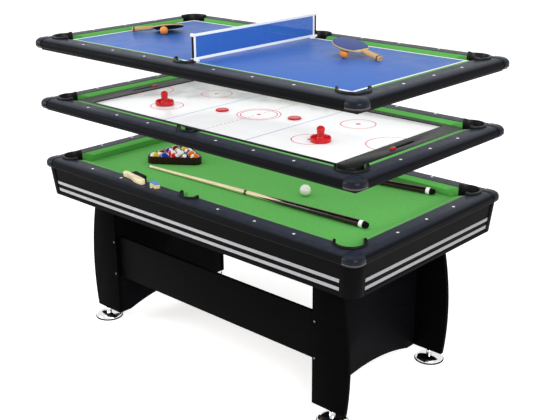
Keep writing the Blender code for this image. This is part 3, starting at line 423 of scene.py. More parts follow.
@dataclass(frozen=True)
class NetMesh(Finish):
    """Fine knotted netting: close threads with small holes that let some light through."""

    pitch: float = 0.0032
    thread: float = 0.40
    film: float = 0.52

    def pattern(self, graph: NodeGraph, colour: Socket) -> Socket:
        """Thin the netting between its threads, which run along Y and Z.

        Args:
            graph: the material's nodes.
            colour: the threads' colour, already varied.

        Returns:
            The same colour; the gaps are in the shader's alpha.
        """
        _, y, z = graph.axes()
        threads = []
        for axis in (y, z):
            wave = graph.math("PINGPONG", graph.math("DIVIDE", axis, self.pitch), 0.5)
            threads.append(graph.math("LESS_THAN", wave, self.thread / 2))
        thread = graph.math("MAXIMUM", *threads)
        cover = graph.math("ADD", graph.math("MULTIPLY", thread, 1.0 - self.film), self.film)
        graph.link(cover, graph.shader.inputs["Alpha"])
        return colour


def laminate(name: str, colour: Colour, specular: float) -> Finish:
    """Make a dull black laminate with an upright grain, in a black set part by part, darker where shade is
    painted in and bluer where blue light is painted in.

    Args:
        name: its material's name.
        colour: its black.
        specular: how much it mirrors.

    Returns:
        The finish.
    """
    return Finish(
        name, colour, 0.46, grain=Grain.TIMBER, along=(0.06, 0.06, 1.0), scale=70.0, relief=0.18,
        mottle=0.22, specular=specular,
    )


# The rails' shoulders are darkened to near black as painted shade.
RAIL_VINYL = RailFinish(
    "rail vinyl", (0.027, 0.032, 0.047), 0.42, scale=30.0, relief=0.22, mottle=0.16, specular=0.12,
)
RAIL_EDGE = Finish("rail lower edge", (0.010, 0.0095, 0.0095), 0.50, relief=0.10, scale=60.0, specular=0.05)
# The caps' shoulders are darkened to near black as painted shade, and the pale line near their foot is in
# part a painted highlight.
CAP_GLOSS = RailFinish(
    "corner cap gloss", (0.018, 0.023, 0.036), 0.26, coat=0.05, relief=0.02, scale=20.0, specular=0.12,
    shoulder_shade=(0.0080, 0.0100, 0.0150), shoulder_shade_specular=0.08, trim=(0.095, 0.088, 0.082),
)
POCKET_RUBBER = Finish("pocket liner", (0.006, 0.006, 0.007), 0.40, relief=0.12, scale=80.0, specular=0.2)
CLOTH = Finish(
    "green cloth", (0.100, 0.388, 0.078), 0.92, grain=Grain.FELT, relief=0.55, mottle=0.07, scale=90.0,
    sheen=0.05, specular=0.05,
)
SIGHT = Finish("sight inlay", (0.94, 0.945, 0.95), 0.18, coat=0.4, relief=0.01, scale=200.0, mottle=0.03)
LAMINATE = laminate("black laminate", (0.0042, 0.0040, 0.0043), 0.02)
# Copies of the apron's black laminate, darker as painted shade; the end panels' copy is also bluer as a
# painted blue light.
SHADED_LEG_LAMINATE = laminate("black leg laminate, painted shade", (0.0020, 0.0019, 0.0021), 0.008)
SHADED_BLUE_LIT_END_LAMINATE = laminate("black end laminate, painted shade and blue light", (0.0034, 0.0033, 0.0042), 0.012)
SHADED_LAMINATE_LONG = laminate("black laminate long, painted shade", (0.0032, 0.0031, 0.0033), 0.012)
POST_PLASTIC = Finish(
    "corner post plastic", (0.0038, 0.0036, 0.0042), 0.42, relief=0.10, scale=60.0, specular=0.015,
)
SILVER = Finish(
    "silver strip", (0.372, 0.373, 0.384), 0.36, metallic=0.75, grain=Grain.BRUSHED,
    along=(0.01, 0.01, 1.0), relief=0.05, mottle=0.06,
)
RAW_BOARD = Finish(
    "raw board", (0.260, 0.180, 0.105), 0.80, grain=Grain.TIMBER, along=(0.3, 0.3, 1.0), scale=160.0,
    relief=0.35, mottle=0.22,
)
BLACK_BOARD = Finish(
    "black painted board", (0.010, 0.0095, 0.0095), 0.55, relief=0.20, scale=120.0, specular=0.12,
)
CHROME = Finish("chrome", (0.800, 0.805, 0.820), 0.07, metallic=1.0, relief=0.01, mottle=0.03)
SCREW_STEEL = Finish("screw steel", (0.200, 0.200, 0.205), 0.34, metallic=1.0, relief=0.02, scale=300.0)
RACK = Finish(
    "rack lacquer", (0.020, 0.006, 0.007), 0.28, grain=Grain.TIMBER, along=(1.0, 1.0, 0.1), coat=0.15,
    specular=0.2, scale=60.0, relief=0.04, mottle=0.2,
)
IVORY = Finish("cue ball ivory", (0.860, 0.845, 0.790), 0.08, coat=0.8, relief=0.01, mottle=0.03)
LEATHER_TIP = Finish("cue tip leather", (0.160, 0.080, 0.040), 0.75, relief=0.3, scale=900.0)
FERRULE = Finish("cue ferrule", (0.880, 0.870, 0.850), 0.22, coat=0.3, relief=0.01)
ASH = CueWood(
    "cue ash", (0.840, 0.680, 0.440), 0.24, grain=Grain.TIMBER, along=(1.0, 1.0, 0.03), coat=0.6,
    scale=260.0, relief=0.04, mottle=0.14,
)
SHAFT = Finish(
    "cue shaft", (0.860, 0.700, 0.440), 0.26, grain=Grain.TIMBER, along=(1.0, 1.0, 0.03), coat=0.5,
    scale=260.0, relief=0.04, mottle=0.12,
)
BUTT = Finish("cue butt", (0.014, 0.004, 0.005), 0.20, coat=0.4, specular=0.3, relief=0.03, mottle=0.2)
COLLAR = Finish("cue collar", (0.012, 0.012, 0.013), 0.25, coat=0.4, relief=0.01)
BUMPER = Finish("rubber bumper", (0.0050, 0.0045, 0.0050), 0.55, relief=0.10, scale=200.0, specular=0.04)
CHALK = Finish("chalk", (0.050, 0.160, 0.380), 0.95, relief=0.8, scale=400.0, mottle=0.18, specular=0.1)
CHALK_LABEL = Finish("chalk paper", (0.760, 0.640, 0.300), 0.60, relief=0.1, scale=300.0)
BRUSH_WOOD = Finish(
    "brush beech", (0.880, 0.760, 0.470), 0.35, grain=Grain.TIMBER, along=(0.08, 1.0, 1.0), coat=0.3,
    scale=260.0, relief=0.08, mottle=0.12,
)
BRISTLE = Finish("bristle", (0.010, 0.010, 0.010), 0.45, relief=0.1)
FIELD = Finish(
    "white field", (0.875, 0.882, 0.892), 0.16, coat=0.12, relief=0.01, mottle=0.02, scale=12.0,
    specular=0.2,
)
INK_RED = Finish("red ink", (0.620, 0.024, 0.040), 0.22, coat=0.1, specular=0.2, relief=0.01, mottle=0.04)
INK_BLUE = Finish("blue ink", (0.170, 0.300, 0.540), 0.22, coat=0.1, specular=0.2, relief=0.01, mottle=0.04)
TRAY = Finish("tray border", (0.010, 0.010, 0.011), 0.40, relief=0.14, scale=90.0, specular=0.2)
RED = Finish(
    "moulded red", (0.600, 0.006, 0.011), 0.24, coat=0.2, specular=0.3, relief=0.02, scale=40.0,
    mottle=0.05,
)
FELT_PAD = Finish("pusher felt", (0.030, 0.030, 0.032), 0.95, grain=Grain.FELT, relief=0.5)
BLUE_TOP = Finish(
    "blue playing top", (0.046, 0.140, 0.478), 0.38, relief=0.08, mottle=0.05, scale=10.0, specular=0.12,
)
LINE_WHITE = Finish("white line", (0.920, 0.925, 0.935), 0.40, relief=0.05, mottle=0.03)
TAPE = Finish(
    "net tape", (0.950, 0.955, 0.960), 0.75, grain=Grain.FELT, relief=0.3, scale=300.0, mottle=0.05,
)
NET_MESH = NetMesh("net mesh", (0.034, 0.150, 0.560), 0.65, relief=0.2, mottle=0.08, specular=0.1)
POST_BLACK = Finish("net post", (0.006, 0.006, 0.007), 0.40, relief=0.1, specular=0.15)
POST_WHITE = Finish("net post fitting", (0.930, 0.935, 0.940), 0.30, relief=0.04)
PLY = Finish(
    "paddle ply", (0.620, 0.430, 0.210), 0.45, grain=Grain.TIMBER, along=(0.1, 1.0, 1.0), scale=300.0,
    relief=0.08, mottle=0.15,
)
GRIP = Finish(
    "paddle grip", (0.560, 0.330, 0.130), 0.42, grain=Grain.TIMBER, along=(0.1, 1.0, 1.0), scale=240.0,
    relief=0.1, mottle=0.18,
)
GRIP_DARK = Finish("paddle grip stripe", (0.030, 0.012, 0.010), 0.40, relief=0.05)
RUBBER_BLACK = Finish("paddle rubber", (0.012, 0.013, 0.020), 0.62, relief=0.3, scale=150.0)
RUBBER_BLUE = Finish("blue paddle rubber", (0.020, 0.050, 0.210), 0.55, relief=0.3, scale=150.0)
ORANGE = Finish("orange ball", (0.830, 0.290, 0.035), 0.36, relief=0.03, scale=200.0, mottle=0.04)


def new_object(name: str, mesh: Mesh) -> bpy.types.Object:
    """Show a mesh as an object.

    Args:
        name: the piece's name.
        mesh: its mesh.

    Returns:
        The object, linked to the scene.
    """
    thing = bpy.data.objects.new(name, mesh)
    bpy.context.scene.collection.objects.link(thing)
    return thing


def lofted(rings: Sequence[Sequence[Point]], caps: bool = True, closed: bool = False) -> Mesh:
    """Skin closed rings of points that have equal counts.

    Args:
        rings: the rings, in order.
        caps: whether the first and last ring are filled.
        closed: whether the last ring runs back into the first.

    Returns:
        The mesh, with its faces outward.
    """
    shape = bmesh.new()
    rows = [[shape.verts.new(point) for point in ring] for ring in rings]
    if closed:
        rows.append(rows[0])
    elif caps:
        shape.faces.new(rows[0][::-1])
        shape.faces.new(rows[-1])
    count = len(rings[0])
    for lower, upper in zip(rows, rows[1:]):
        for i in range(count):
            j = (i + 1) % count
            shape.faces.new((lower[i], lower[j], upper[j], upper[i]))
    return outward(shape)


def outward(shape: bmesh.types.BMesh, weld: float = 0.000001) -> Mesh:
    """Weld a shape, turn its faces outward and make it a smooth mesh with sharp edges.

    Args:
        shape: the shape, which is freed.
        weld: the distance under which vertices are one.

    Returns:
        The mesh.
    """
    bmesh.ops.remove_doubles(shape, verts=shape.verts, dist=weld)
    bmesh.ops.recalc_face_normals(shape, faces=shape.faces)
    mesh = bpy.data.meshes.new("shape")
    shape.to_mesh(mesh)
    shape.free()
    return smoothed(mesh)


def smoothed(mesh: Mesh) -> Mesh:
    """Shade a mesh smooth between its sharp edges.

    Args:
        mesh: the mesh, which is changed.

    Returns:
        The same mesh.
    """
    mesh.shade_smooth()
    mesh.set_sharp_from_angle(angle=SMOOTH_ANGLE)
    return mesh


def turned(
    profile: Sequence[Flat], steps: int, start: float = 0.0, sweep: float = FULL_TURN
) -> Mesh:
    """Turn a closed outline of (radius, height) points about the upright axis.

    Args:
        profile: the outline; points on the axis may stand at its ends.
        steps: how many steps the turn has.
        start: the first angle.
        sweep: how far it turns; a full turn closes on itself.

    Returns:
        The mesh.
    """
    full = sweep > FULL_TURN - 0.001
    angles = [start + sweep * i / steps for i in range(steps if full else steps + 1)]
    rings = [[(r * math.cos(a), r * math.sin(a), z) for r, z in profile] for a in angles]
    return lofted(rings, closed=full)


def ball_mesh(radius: float) -> Mesh:
    """Build a smooth ball.

    Args:
        radius: its radius.

    Returns:
        The ball about the origin.
    """
    shape = bmesh.new()
    bmesh.ops.create_uvsphere(shape, u_segments=40, v_segments=24, radius=radius)
    return outward(shape)


def levelled(outlines: Iterable[tuple[Sequence[Flat], float]]) -> list[list[Point]]:
    """Flat outlines as rings of points, each at its own height."""
    return [[(x, y, z) for x, y in outline] for outline, z in outlines]


def slab(outline: Sequence[Flat], low: float, high: float) -> Mesh:
    """Raise a flat outline from one height to another."""
    return lofted(levelled([(outline, low), (outline, high)]))


def block(low: Point, high: Point) -> Mesh:
    """A box between two corners."""
    outline = [(low[0], low[1]), (high[0], low[1]), (high[0], high[1]), (low[0], high[1])]
    return slab(outline, low[2], high[2])


def eased(low: Point, high: Point, bevel: float, segments: int = 3) -> Mesh:
    """A box between two corners, its edges rounded."""
    return worked(block(low, high), bevel=bevel, segments=segments)


def disc(radius: float, low: float, high: float, steps: int) -> Mesh:
    """A round plate about the upright axis."""
    return turned([(0.0, low), (radius, low), (radius, high), (0.0, high)], steps)


def chamfered(half_x: float, half_y: float, cut: float) -> list[Flat]:
    """A rectangle's outline with its corners cut off.

    Args:
        half_x: half its length.
        half_y: half its width.
        cut: how far the cut runs along each side.

    Returns:
        The outline's eight points.
    """
    outline = []
    for sx, sy in CORNERS:
        pair = [(sx * half_x, sy * (half_y - cut)), (sx * (half_x - cut), sy * half_y)]
        outline += pair if sx * sy > 0 else pair[::-1]
    return outline


def arc(centre: Flat, radius: float, start: float, end: float, steps: int) -> list[Flat]:
    """Points along an arc, from one angle to another."""
    angles = [start + (end - start) * i / steps for i in range(steps + 1)]
    return [(centre[0] + radius * math.cos(a), centre[1] + radius * math.sin(a)) for a in angles]


def moved(mesh: Mesh, matrix: Matrix) -> Mesh:
    """Copy a mesh to another place.

    Args:
        mesh: the mesh, which stays as it is.
        matrix: the move; one that mirrors has its faces turned outward again.

    Returns:
        The moved copy.
    """
    copy = mesh.copy()
    copy.transform(matrix)
    if matrix.determinant() < 0:
        copy.flip_normals()
    return copy


def merged(meshes: Iterable[Mesh]) -> Mesh:
    """Several meshes as one, side by side.

    Args:
        meshes: the meshes.

    Returns:
        The one mesh.
    """
    shape = bmesh.new()
    for mesh in meshes:
        shape.from_mesh(mesh)
    mesh = bpy.data.meshes.new("group")
    shape.to_mesh(mesh)
    shape.free()
    return smoothed(mesh)


def worked(
    mesh: Mesh,
    cutters: Sequence[Mesh] = (),
    bevel: float = 0.0,
    segments: int = 3,
    angle: float = 35.0,
) -> Mesh:
    """Cut a mesh and round its edges.

    Args:
        mesh: the mesh to work.
        cutters: meshes whose space is taken out.
        bevel: the width of the rounding, or 0 for none.
        segments: the rounding's steps.
        angle: edges sharper than this many degrees are rounded.

    Returns:
        The worked mesh.
    """
    thing = new_object("working", mesh)
    tools = [new_object("cutter", cutter) for cutter in cutters]
    for tool in tools:
        step = thing.modifiers.new("cut", "BOOLEAN")
        step.operation = "DIFFERENCE"
        step.solver = "EXACT"
        step.object = tool
    if bevel:
        step = thing.modifiers.new("round", "BEVEL")
        step.width = bevel
        step.segments = segments
        step.limit_method = "ANGLE"
        step.angle_limit = math.radians(angle)
        step.harden_normals = False
    bpy.context.view_layer.update()
    seen = thing.evaluated_get(bpy.context.evaluated_depsgraph_get())
    made = bpy.data.meshes.new_from_object(seen)
    for used in (thing, *tools):
        bpy.data.objects.remove(used, do_unlink=True)
    return smoothed(made)


def shift(x: float, y: float, z: float = 0.0) -> Matrix:
    """A move along the three axes."""
    return Matrix.Translation((x, y, z))


def lift(z: float) -> Matrix:
    """A move straight up."""
    return shift(0.0, 0.0, z)


def rotation(angle: float, axis: str = "Z") -> Matrix:
    """A turn about an axis, the upright one unless another is named."""
    return Matrix.Rotation(angle, 4, axis)


def corner_turns(x: float, y: float, z: float = 0.0) -> list[Matrix]:
    """The matrices that carry a first-quadrant corner piece to the four corners.

    Args:
        x: the corner's distance from the middle along X.
        y: the same along Y.
        z: its height.

    Returns:
        Four matrices, in the order of CORNERS.
    """
    return [
        shift(sx * x, sy * y, z) @ rotation(k * math.pi / 2) for k, (sx, sy) in enumerate(CORNERS)
    ]


def node_of(nodes: dict[str, str], place: str) -> list[str]:
    """The CAD node that stands at a place, as a list, which is empty where there is none."""
    return [nodes[place]] if place in nodes else []


NO_TURN = Matrix.Identity(4)
HALF_TURN = rotation(math.pi)
QUARTER_TURN = rotation(math.pi / 2)
BACK_TURN = QUARTER_TURN.inverted()


class Assembly:
    """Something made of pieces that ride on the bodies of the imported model."""

    body: str

    def add(
        self,
        name: str,
        mesh: Mesh,
        finish: Finish,
        slot: str,
        nodes: Sequence[str] = (),
        matrix: Matrix = NO_TURN,
        body: str = "",
    ) -> bpy.types.Object:
        """Show a piece, dress it and let it ride on its body.

        Args:
            name: the piece's name.
            mesh: its mesh.
            finish: its finish.
            slot: the record's material slot; it is not used.
            nodes: the CAD nodes that it stands for.
            matrix: where it goes.
            body: the body that carries it, or none for the assembly's own.

        Returns:
            The piece.
        """
        body = body or self.body
        piece = new_object(name, mesh.copy())
        piece.matrix_world = matrix
        piece.data.materials.clear()
        piece.data.materials.append(finish.material())
        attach(piece, body)
        if nodes:
            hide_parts(*nodes)
        log.info("piece %s on %s", name, body)
        return piece


@dataclass
class RailRing(Assembly):
    """One tier's rails, cushions, corner caps, pocket rings and sights."""

    tier: str
    top: float
    body: str
    rail_nodes: dict[str, str]
    cap_nodes: dict[str, str]
    ring_nodes: dict[str, str]
    cushion_node: str
    cups: bool = False
    rail_width: float = 0.118
    rail_height: float = 0.042
    cushion_reach: float = 0.035
    flat_end: float = 0.083
    shoulder_drop: float = 0.024
    shoulder_steps: int = 12
    ease: float = 0.0012
    foot_ease: float = 0.0006
    lip_step: float = 0.005
    lip_height: float = 0.006
    cushion_top: tuple[Flat, ...] = (
        (0.004, -0.0078), (0.008, -0.0056), (0.012, -0.0042), (0.020, -0.0028), (0.028, -0.0022),
    )
    nose_turns: tuple[float, ...] = (-0.9, -0.3, 0.3, 0.9)
    side_slope: float = 0.2
    corner_mouth: float = 0.075
    side_mouth: float = 0.056
    cap_reach: float = 0.060
    cap_radius: float = 0.036
    cap_proud: float = 0.002
    corner_radius: float = 0.0525
    side_radius: float = 0.0440
    corner_offset: float = 0.012
    side_offset: float = 0.028
    bore_reach: Flat = (-0.2, 0.02)
    wall: float = 0.003
    lip: float = 0.0075
    lip_top: float = 0.009
    prong: float = 0.0055
    corner_arc: Flat = (math.radians(-64.0), math.radians(218.0))
    side_arc: Flat = (math.radians(8.5), math.radians(163.0))
    sight_line: float = 0.0765
    sight_radius: float = 0.0060
    long_pitch: float = 0.2
    end_pitch: float = 0.1875

    def build(self) -> None:
        """Build every piece of the ring."""
        self.rails()
        self.caps()
        self.cushions()
        self.pocket_rings()
        self.sights()

    def roll(self) -> list[Flat]:
        """The rounded shoulder's course, as shares of its width and of its drop."""
        turns = [math.pi / 2 * i / self.shoulder_steps for i in range(self.shoulder_steps + 1)]
        return [(math.sin(turn), 1 - math.cos(turn)) for turn in turns]

    def section(self) -> list[Flat]:
        """Draw the rail's section under its flat top.

        Returns:
            Points of (reach outward from the nose line, height).
        """
        inner = self.cushion_reach + SEAT
        foot = -self.rail_height + self.lip_height
        shoulder = self.rail_width - self.flat_end
        points = [(inner, foot), (inner, -self.ease), (inner + self.ease, 0.0)]
        points += [(self.flat_end + shoulder * out, -self.shoulder_drop * down) for out, down in self.roll()]
        return [*points, (self.rail_width, foot + self.foot_ease), (self.rail_width - self.foot_ease, foot)]

    def edge_section(self) -> list[Flat]:
        """Draw the bare lower edge's section, a step under the vinyl.

        Returns:
            Points of (reach outward from the nose line, height).
        """
        inner = self.cushion_reach + SEAT
        top = -self.rail_height + self.lip_height
        return [
            (inner, -self.rail_height),
            (inner, top),
            (self.rail_width - self.ease, top),
            (self.rail_width - 0.0030, top - 0.0025),
            (self.rail_width - self.lip_step, top - 0.0035),
            (self.rail_width - self.lip_step, -self.rail_height),
        ]

    def bar(
        self, section: Sequence[Flat], field_half: float, low: float, high: float, slopes: Flat = (1.0, 1.0)
    ) -> Mesh:
        """Run a section along the near side.

        Args:
            section: points of (reach outward from the nose line, height).
            field_half: the nose line's distance from the middle.
            low: where it begins along X, at the nose line.
            high: where it ends.
            slopes: how far each end runs on for each metre outward.

        Returns:
            The bar's mesh.
        """
        ends = []
        for place, slope, sign in ((low, slopes[0], -1), (high, slopes[1], 1)):
            ends.append([(place + sign * slope * d, -(field_half + d), z) for d, z in section])
        return lofted(ends)

    def corner_pockets(self, z: float = 0.0) -> list[Matrix]:
        """The places of the four corner pockets."""
        return corner_turns(PLAY_X + self.corner_offset, PLAY_Y + self.corner_offset, z)

    def side_pocket(self, sign: int, z: float = 0.0) -> Matrix:
        """The place of the far side pocket for 1, and of the near one for -1."""
        return shift(0.0, sign * (PLAY_Y + self.side_offset), z)

    def bore(self, corner: float, side: float) -> Mesh:
        """Fill the space of the six pockets, for cutting.

        Args:
            corner: the corner pockets' radius.
            side: the side pockets' radius.

        Returns:
            Six round pegs as one mesh.
        """
        low, high = self.bore_reach
        pegs = []
        sides = [self.side_pocket(sign) for sign in (1, -1)]
        for radius, places in ((corner, self.corner_pockets()), (side, sides)):
            peg = turned([(radius, low), (radius, high), (0.0, high), (0.0, low)], 64)
            pegs += [moved(peg, place) for place in places]
        return merged(pegs)

    def rails(self) -> None:
        """Four mitred rails with their bare lower edges."""
        from_cap = self.rail_width - self.cap_reach - JOINT
        room = block((0.0, 0.0, -0.1), (0.2, 0.2, 0.05))
        rooms = [moved(room, turn) for turn in corner_turns(PLAY_X + from_cap, PLAY_Y + from_cap)]
        gap = self.wall + JOINT
        tools = [self.bore(self.corner_radius + gap, self.side_radius + gap), merged(rooms)]
        for what, section, finish, nodes in (
            ("rail", self.section(), RAIL_VINYL, self.rail_nodes),
            ("rail_edge", self.edge_section(), RAIL_EDGE, {}),
        ):
            long_rail = worked(self.bar(section, PLAY_Y, -PLAY_X + JOINT, PLAY_X - JOINT), tools)
            end = moved(self.bar(section, PLAY_X, -PLAY_Y + JOINT, PLAY_Y - JOINT), QUARTER_TURN)
            end_rail = worked(end, tools)
            for side, mesh, turn in (
                ("near", long_rail, NO_TURN),
                ("far", long_rail, HALF_TURN),
                ("right", end_rail, NO_TURN),
                ("left", end_rail, HALF_TURN),
            ):
                name = f"{self.tier}_{what}_{side}_shown"
                place = lift(self.top)
                self.add(name, moved(mesh, turn), finish, "rail_vinyl", node_of(nodes, side), place)

    def cap_outline(self, inset: float, steps: int = 16) -> list[Flat]:
        """Draw the corner cap's outline.

        Args:
            inset: how far it is drawn in from its outer faces.
            steps: the steps of its rounded corner.

        Returns:
            The outline's points.
        """
        straight = self.cap_reach - self.cap_radius
        radius = self.cap_radius + self.cap_proud - inset
        outer = self.cap_reach + self.cap_proud - inset
        curve = arc((straight, straight), radius, math.pi / 2, 0.0, steps)
        return [(0.0, 0.0), (0.0, outer), *curve, (outer, 0.0)][::-1]

    def caps(self) -> None:
        """Four glossy moulded corner caps."""
        shoulder = self.rail_width - self.flat_end
        foot = -self.rail_height
        levels = [(self.lip_step, foot + 0.001), (self.lip_step, foot + 0.0035)]
        levels += [(self.ease, foot + self.lip_height), (0.0, foot + self.lip_height + self.ease)]
        for out, down in reversed(self.roll()):
            levels.append((shoulder * (1 - out), self.cap_proud - self.shoulder_drop * down))
        rings = levelled((self.cap_outline(inset), z) for inset, z in levels)
        cap = worked(lofted(rings), bevel=0.0009, segments=2, angle=50.0)
        from_cap = self.rail_width - self.cap_reach
        for corner, turn in zip(CORNER_NAMES, corner_turns(PLAY_X + from_cap, PLAY_Y + from_cap)):
            name = f"{self.tier}_cap_{corner}_shown"
            nodes = node_of(self.cap_nodes, corner)
            self.add(name, moved(cap, turn), CAP_GLOSS, "corner_cap", nodes, lift(self.top))

    def cushion_section(self) -> list[Flat]:
        """Draw the cushion's section: a crowned top, a rounded nose and a face leaning back to its foot.

        Returns:
            Points of (reach outward from the nose line, height).
        """
        nose = [(0.0016 - 0.0016 * math.cos(a), -0.012 - 0.0022 * math.sin(a)) for a in self.nose_turns]
        foot = [(self.cushion_reach, BED), (0.010, BED)]
        return [*foot, *reversed(nose), *self.cushion_top, (self.cushion_reach, -0.0020)]

    def cushions(self) -> None:
        """Six cloth-covered cushions, their ends slanted to open the pockets."""
        section = self.cushion_section()
        high = PLAY_X - self.corner_mouth
        end_half = PLAY_Y - self.corner_mouth
        first = self.bar(section, PLAY_Y, self.side_mouth, high, (self.side_slope, 1.0))
        second = self.bar(section, PLAY_Y, -high, -self.side_mouth, (1.0, self.side_slope))
        end = self.bar(section, PLAY_X, -end_half, end_half)
        for name, mesh, turn in (
            ("near_right", first, NO_TURN),
            ("near_left", second, NO_TURN),
            ("far_left", first, HALF_TURN),
            ("far_right", second, HALF_TURN),
            ("right", end, QUARTER_TURN),
            ("left", end, BACK_TURN),
        ):
            nodes = node_of({"near_right": self.cushion_node}, name)
            shaped = worked(moved(mesh, turn), bevel=0.0008, segments=2, angle=50.0)
            slot = "green_cloth" if self.tier == "pool" else "green_board"
            self.add(f"{self.tier}_cushion_{name}", shaped, CLOTH, slot, nodes, lift(self.top))

    def ring_mesh(self, radius: float, start: float, sweep: float, steps: int = 56) -> Mesh:
        """A pocket ring's curled lip and sleeve as an open arc whose ends rise to rounded prongs.

        Args:
            radius: the pocket's radius.
            start: the arc's first angle.
            sweep: its length.
            steps: how many steps it has.

        Returns:
            The mesh about the pocket's axis.
        """
        outer = radius + self.wall
        foot = -self.rail_height + 0.002
        rings = []
        for i in range(steps + 1):
            angle = start + sweep * i / steps
            near_end = min(i, steps - i) * sweep / steps * radius
            rise = self.prong * math.exp(-((near_end - 0.007) / 0.009) ** 2)
            trim = min(1.0, 0.35 + near_end / 0.004)
            top = self.lip_top + rise
            lip = self.lip * trim
            profile = [
                (radius, foot),
                (radius, top - 0.0030),
                (radius + 0.0012, top - 0.0008),
                (radius + 0.0035, top),
                (outer + lip - 0.0035, top),
                (outer + lip - 0.0009, top - 0.0012),
                (outer + lip, top - 0.0035),
                (outer + lip, JOINT),
                (outer, JOINT),
                (outer, foot),
            ]
            rings.append([(r * math.cos(angle), r * math.sin(angle), z) for r, z in profile])
        return worked(lofted(rings), bevel=0.0008, segments=2, angle=60.0)

    def cup_mesh(self, radius: float) -> Mesh:
        """A closed moulded cup under the bed, wide at its mouth.

        Args:
            radius: the pocket's radius.

        Returns:
            The mesh about the pocket's axis.
        """
        outer = radius + self.wall
        mouth = BED - JOINT
        inside = [(0.0, -0.139), (radius - 0.019, -0.139), (radius - 0.015, -0.136), (radius - 0.003, -0.092)]
        rim = [(radius, -0.070), (radius, mouth), (outer - 0.0002, mouth), (outer - 0.0002, -0.070)]
        outside = [(outer - 0.003, -0.092), (radius - 0.012, -0.138), (radius - 0.016, -0.142), (0.0, -0.142)]
        return turned([*inside, *rim, *outside], 48)

    def pocket_rings(self) -> None:
        """Four corner rings and two side rings, with cups under them or a dark floor in them."""
        corner = self.ring_mesh(self.corner_radius, *self.corner_arc)
        side = self.ring_mesh(self.side_radius, *self.side_arc)
        places = zip(CORNER_NAMES, self.corner_pockets(self.top))
        spots = [(name, corner, turn, self.corner_radius) for name, turn in places]
        spots.append(("far", side, self.side_pocket(1, self.top), self.side_radius))
        spots.append(("near", side, self.side_pocket(-1, self.top) @ HALF_TURN, self.side_radius))
        slot = "pocket_plastic"
        for name, ring, turn, radius in spots:
            nodes = node_of(self.ring_nodes, name)
            self.add(f"{self.tier}_pocket_ring_{name}", moved(ring, turn), POCKET_RUBBER, slot, nodes)
            if self.cups:
                what, under = "cup", self.cup_mesh(radius)
            else:
                what, under = "floor", disc(radius, BED + 0.0001, BED + 0.0006, 40)
            self.add(f"{self.tier}_pocket_{what}_{name}", moved(under, turn), POCKET_RUBBER, slot)

    def sights(self) -> None:
        """Round inlaid sights, six on each long rail and three on each end rail."""
        dot = turned([(0.0, 0.0), (self.sight_radius, 0.0), (self.sight_radius, 0.0001), (0.0, 0.00015)], 28)
        near = PLAY_Y + self.sight_line
        end = PLAY_X + self.sight_line
        long_places = [k * self.long_pitch for k in (-3, -2, -1, 1, 2, 3)]
        end_places = [k * self.end_pitch for k in (-1, 0, 1)]
        for side, places in (
            ("near", [(x, -near) for x in long_places]),
            ("far", [(x, near) for x in long_places]),
            ("right", [(end, y) for y in end_places]),
            ("left", [(-end, y) for y in end_places]),
        ):
            group = merged(moved(dot, shift(x, y, self.top + 0.00008)) for x, y in places)
            self.add(f"{self.tier}_sights_{side}", group, SIGHT, "rail_vinyl")


@dataclass
class PoolBed(Assembly):
    """The bed board on its beams and the stretched cloth."""

    body: str = "table"
    margin: float = 0.050
    half_x: float = 0.908 - 0.018 - 0.0022
    half_y: float = 0.483 - 0.018 - 0.0022
    thickness: float = 0.018
    corner_cut: float = 0.045
    board_bores: Flat = (0.0558, 0.0473)
    cloth_bores: Flat = (0.0560, 0.0475)
    beam_half: float = 0.015
    beam_reach: float = 0.735
    beam_line: float = 0.330
    beam_depth: float = 0.060
    cross_reach: float = 0.3148
    cross_line: float = 0.617
    cross_depth: float = 0.058

    def build(self) -> None:
        """Build the bed and the cloth."""
        self.board()
        self.cloth()

    def bores(self, corner: float, side: float) -> Mesh:
        """The space of pockets with the given radii."""
        return RailRing("bore", POOL_TOP, self.body, {}, {}, {}, "").bore(corner, side)

    def board(self) -> None:
        """The raw board and, under it, two long beams and three cross beams."""
        top = BED - 0.0012 - SEAT
        low = top - self.thickness
        outline = chamfered(self.half_x, self.half_y, self.corner_cut)
        board = worked(slab(outline, low, top), [self.bores(*self.board_bores)])
        self.add("bed_board", board, RAW_BOARD, "raw_board", ["pool_bed"], lift(POOL_TOP))
        beam_top = low - 0.0001
        beams = []
        for name, y in (("near", -self.beam_line), ("far", self.beam_line)):
            corner = (-self.beam_reach, y - self.beam_half, beam_top - self.beam_depth)
            beams.append((f"beam_{name}", corner, (self.beam_reach, y + self.beam_half, beam_top)))
        for name, x in (("left", -self.cross_line), ("middle", 0.0), ("right", self.cross_line)):
            corner = (x - self.beam_half, -self.cross_reach, beam_top - self.cross_depth)
            beams.append((f"cross_beam_{name}", corner, (x + self.beam_half, self.cross_reach, beam_top)))
        for name, corner, opposite in beams:
            self.add(name, eased(corner, opposite, 0.002), RAW_BOARD, "raw_board", matrix=lift(POOL_TOP))

    def cloth(self) -> None:
        """The cloth, stretched over the bed and holed at the pockets."""
        half_x = PLAY_X + self.margin
        half_y = PLAY_Y + self.margin
        sheet = worked(
            block((-half_x, -half_y, BED - 0.0011), (half_x, half_y, BED - 0.0002)),
            [self.bores(*self.cloth_bores)],
        )
        piece = self.add("bed_cloth", sheet, CLOTH, "green_cloth", matrix=lift(POOL_TOP))


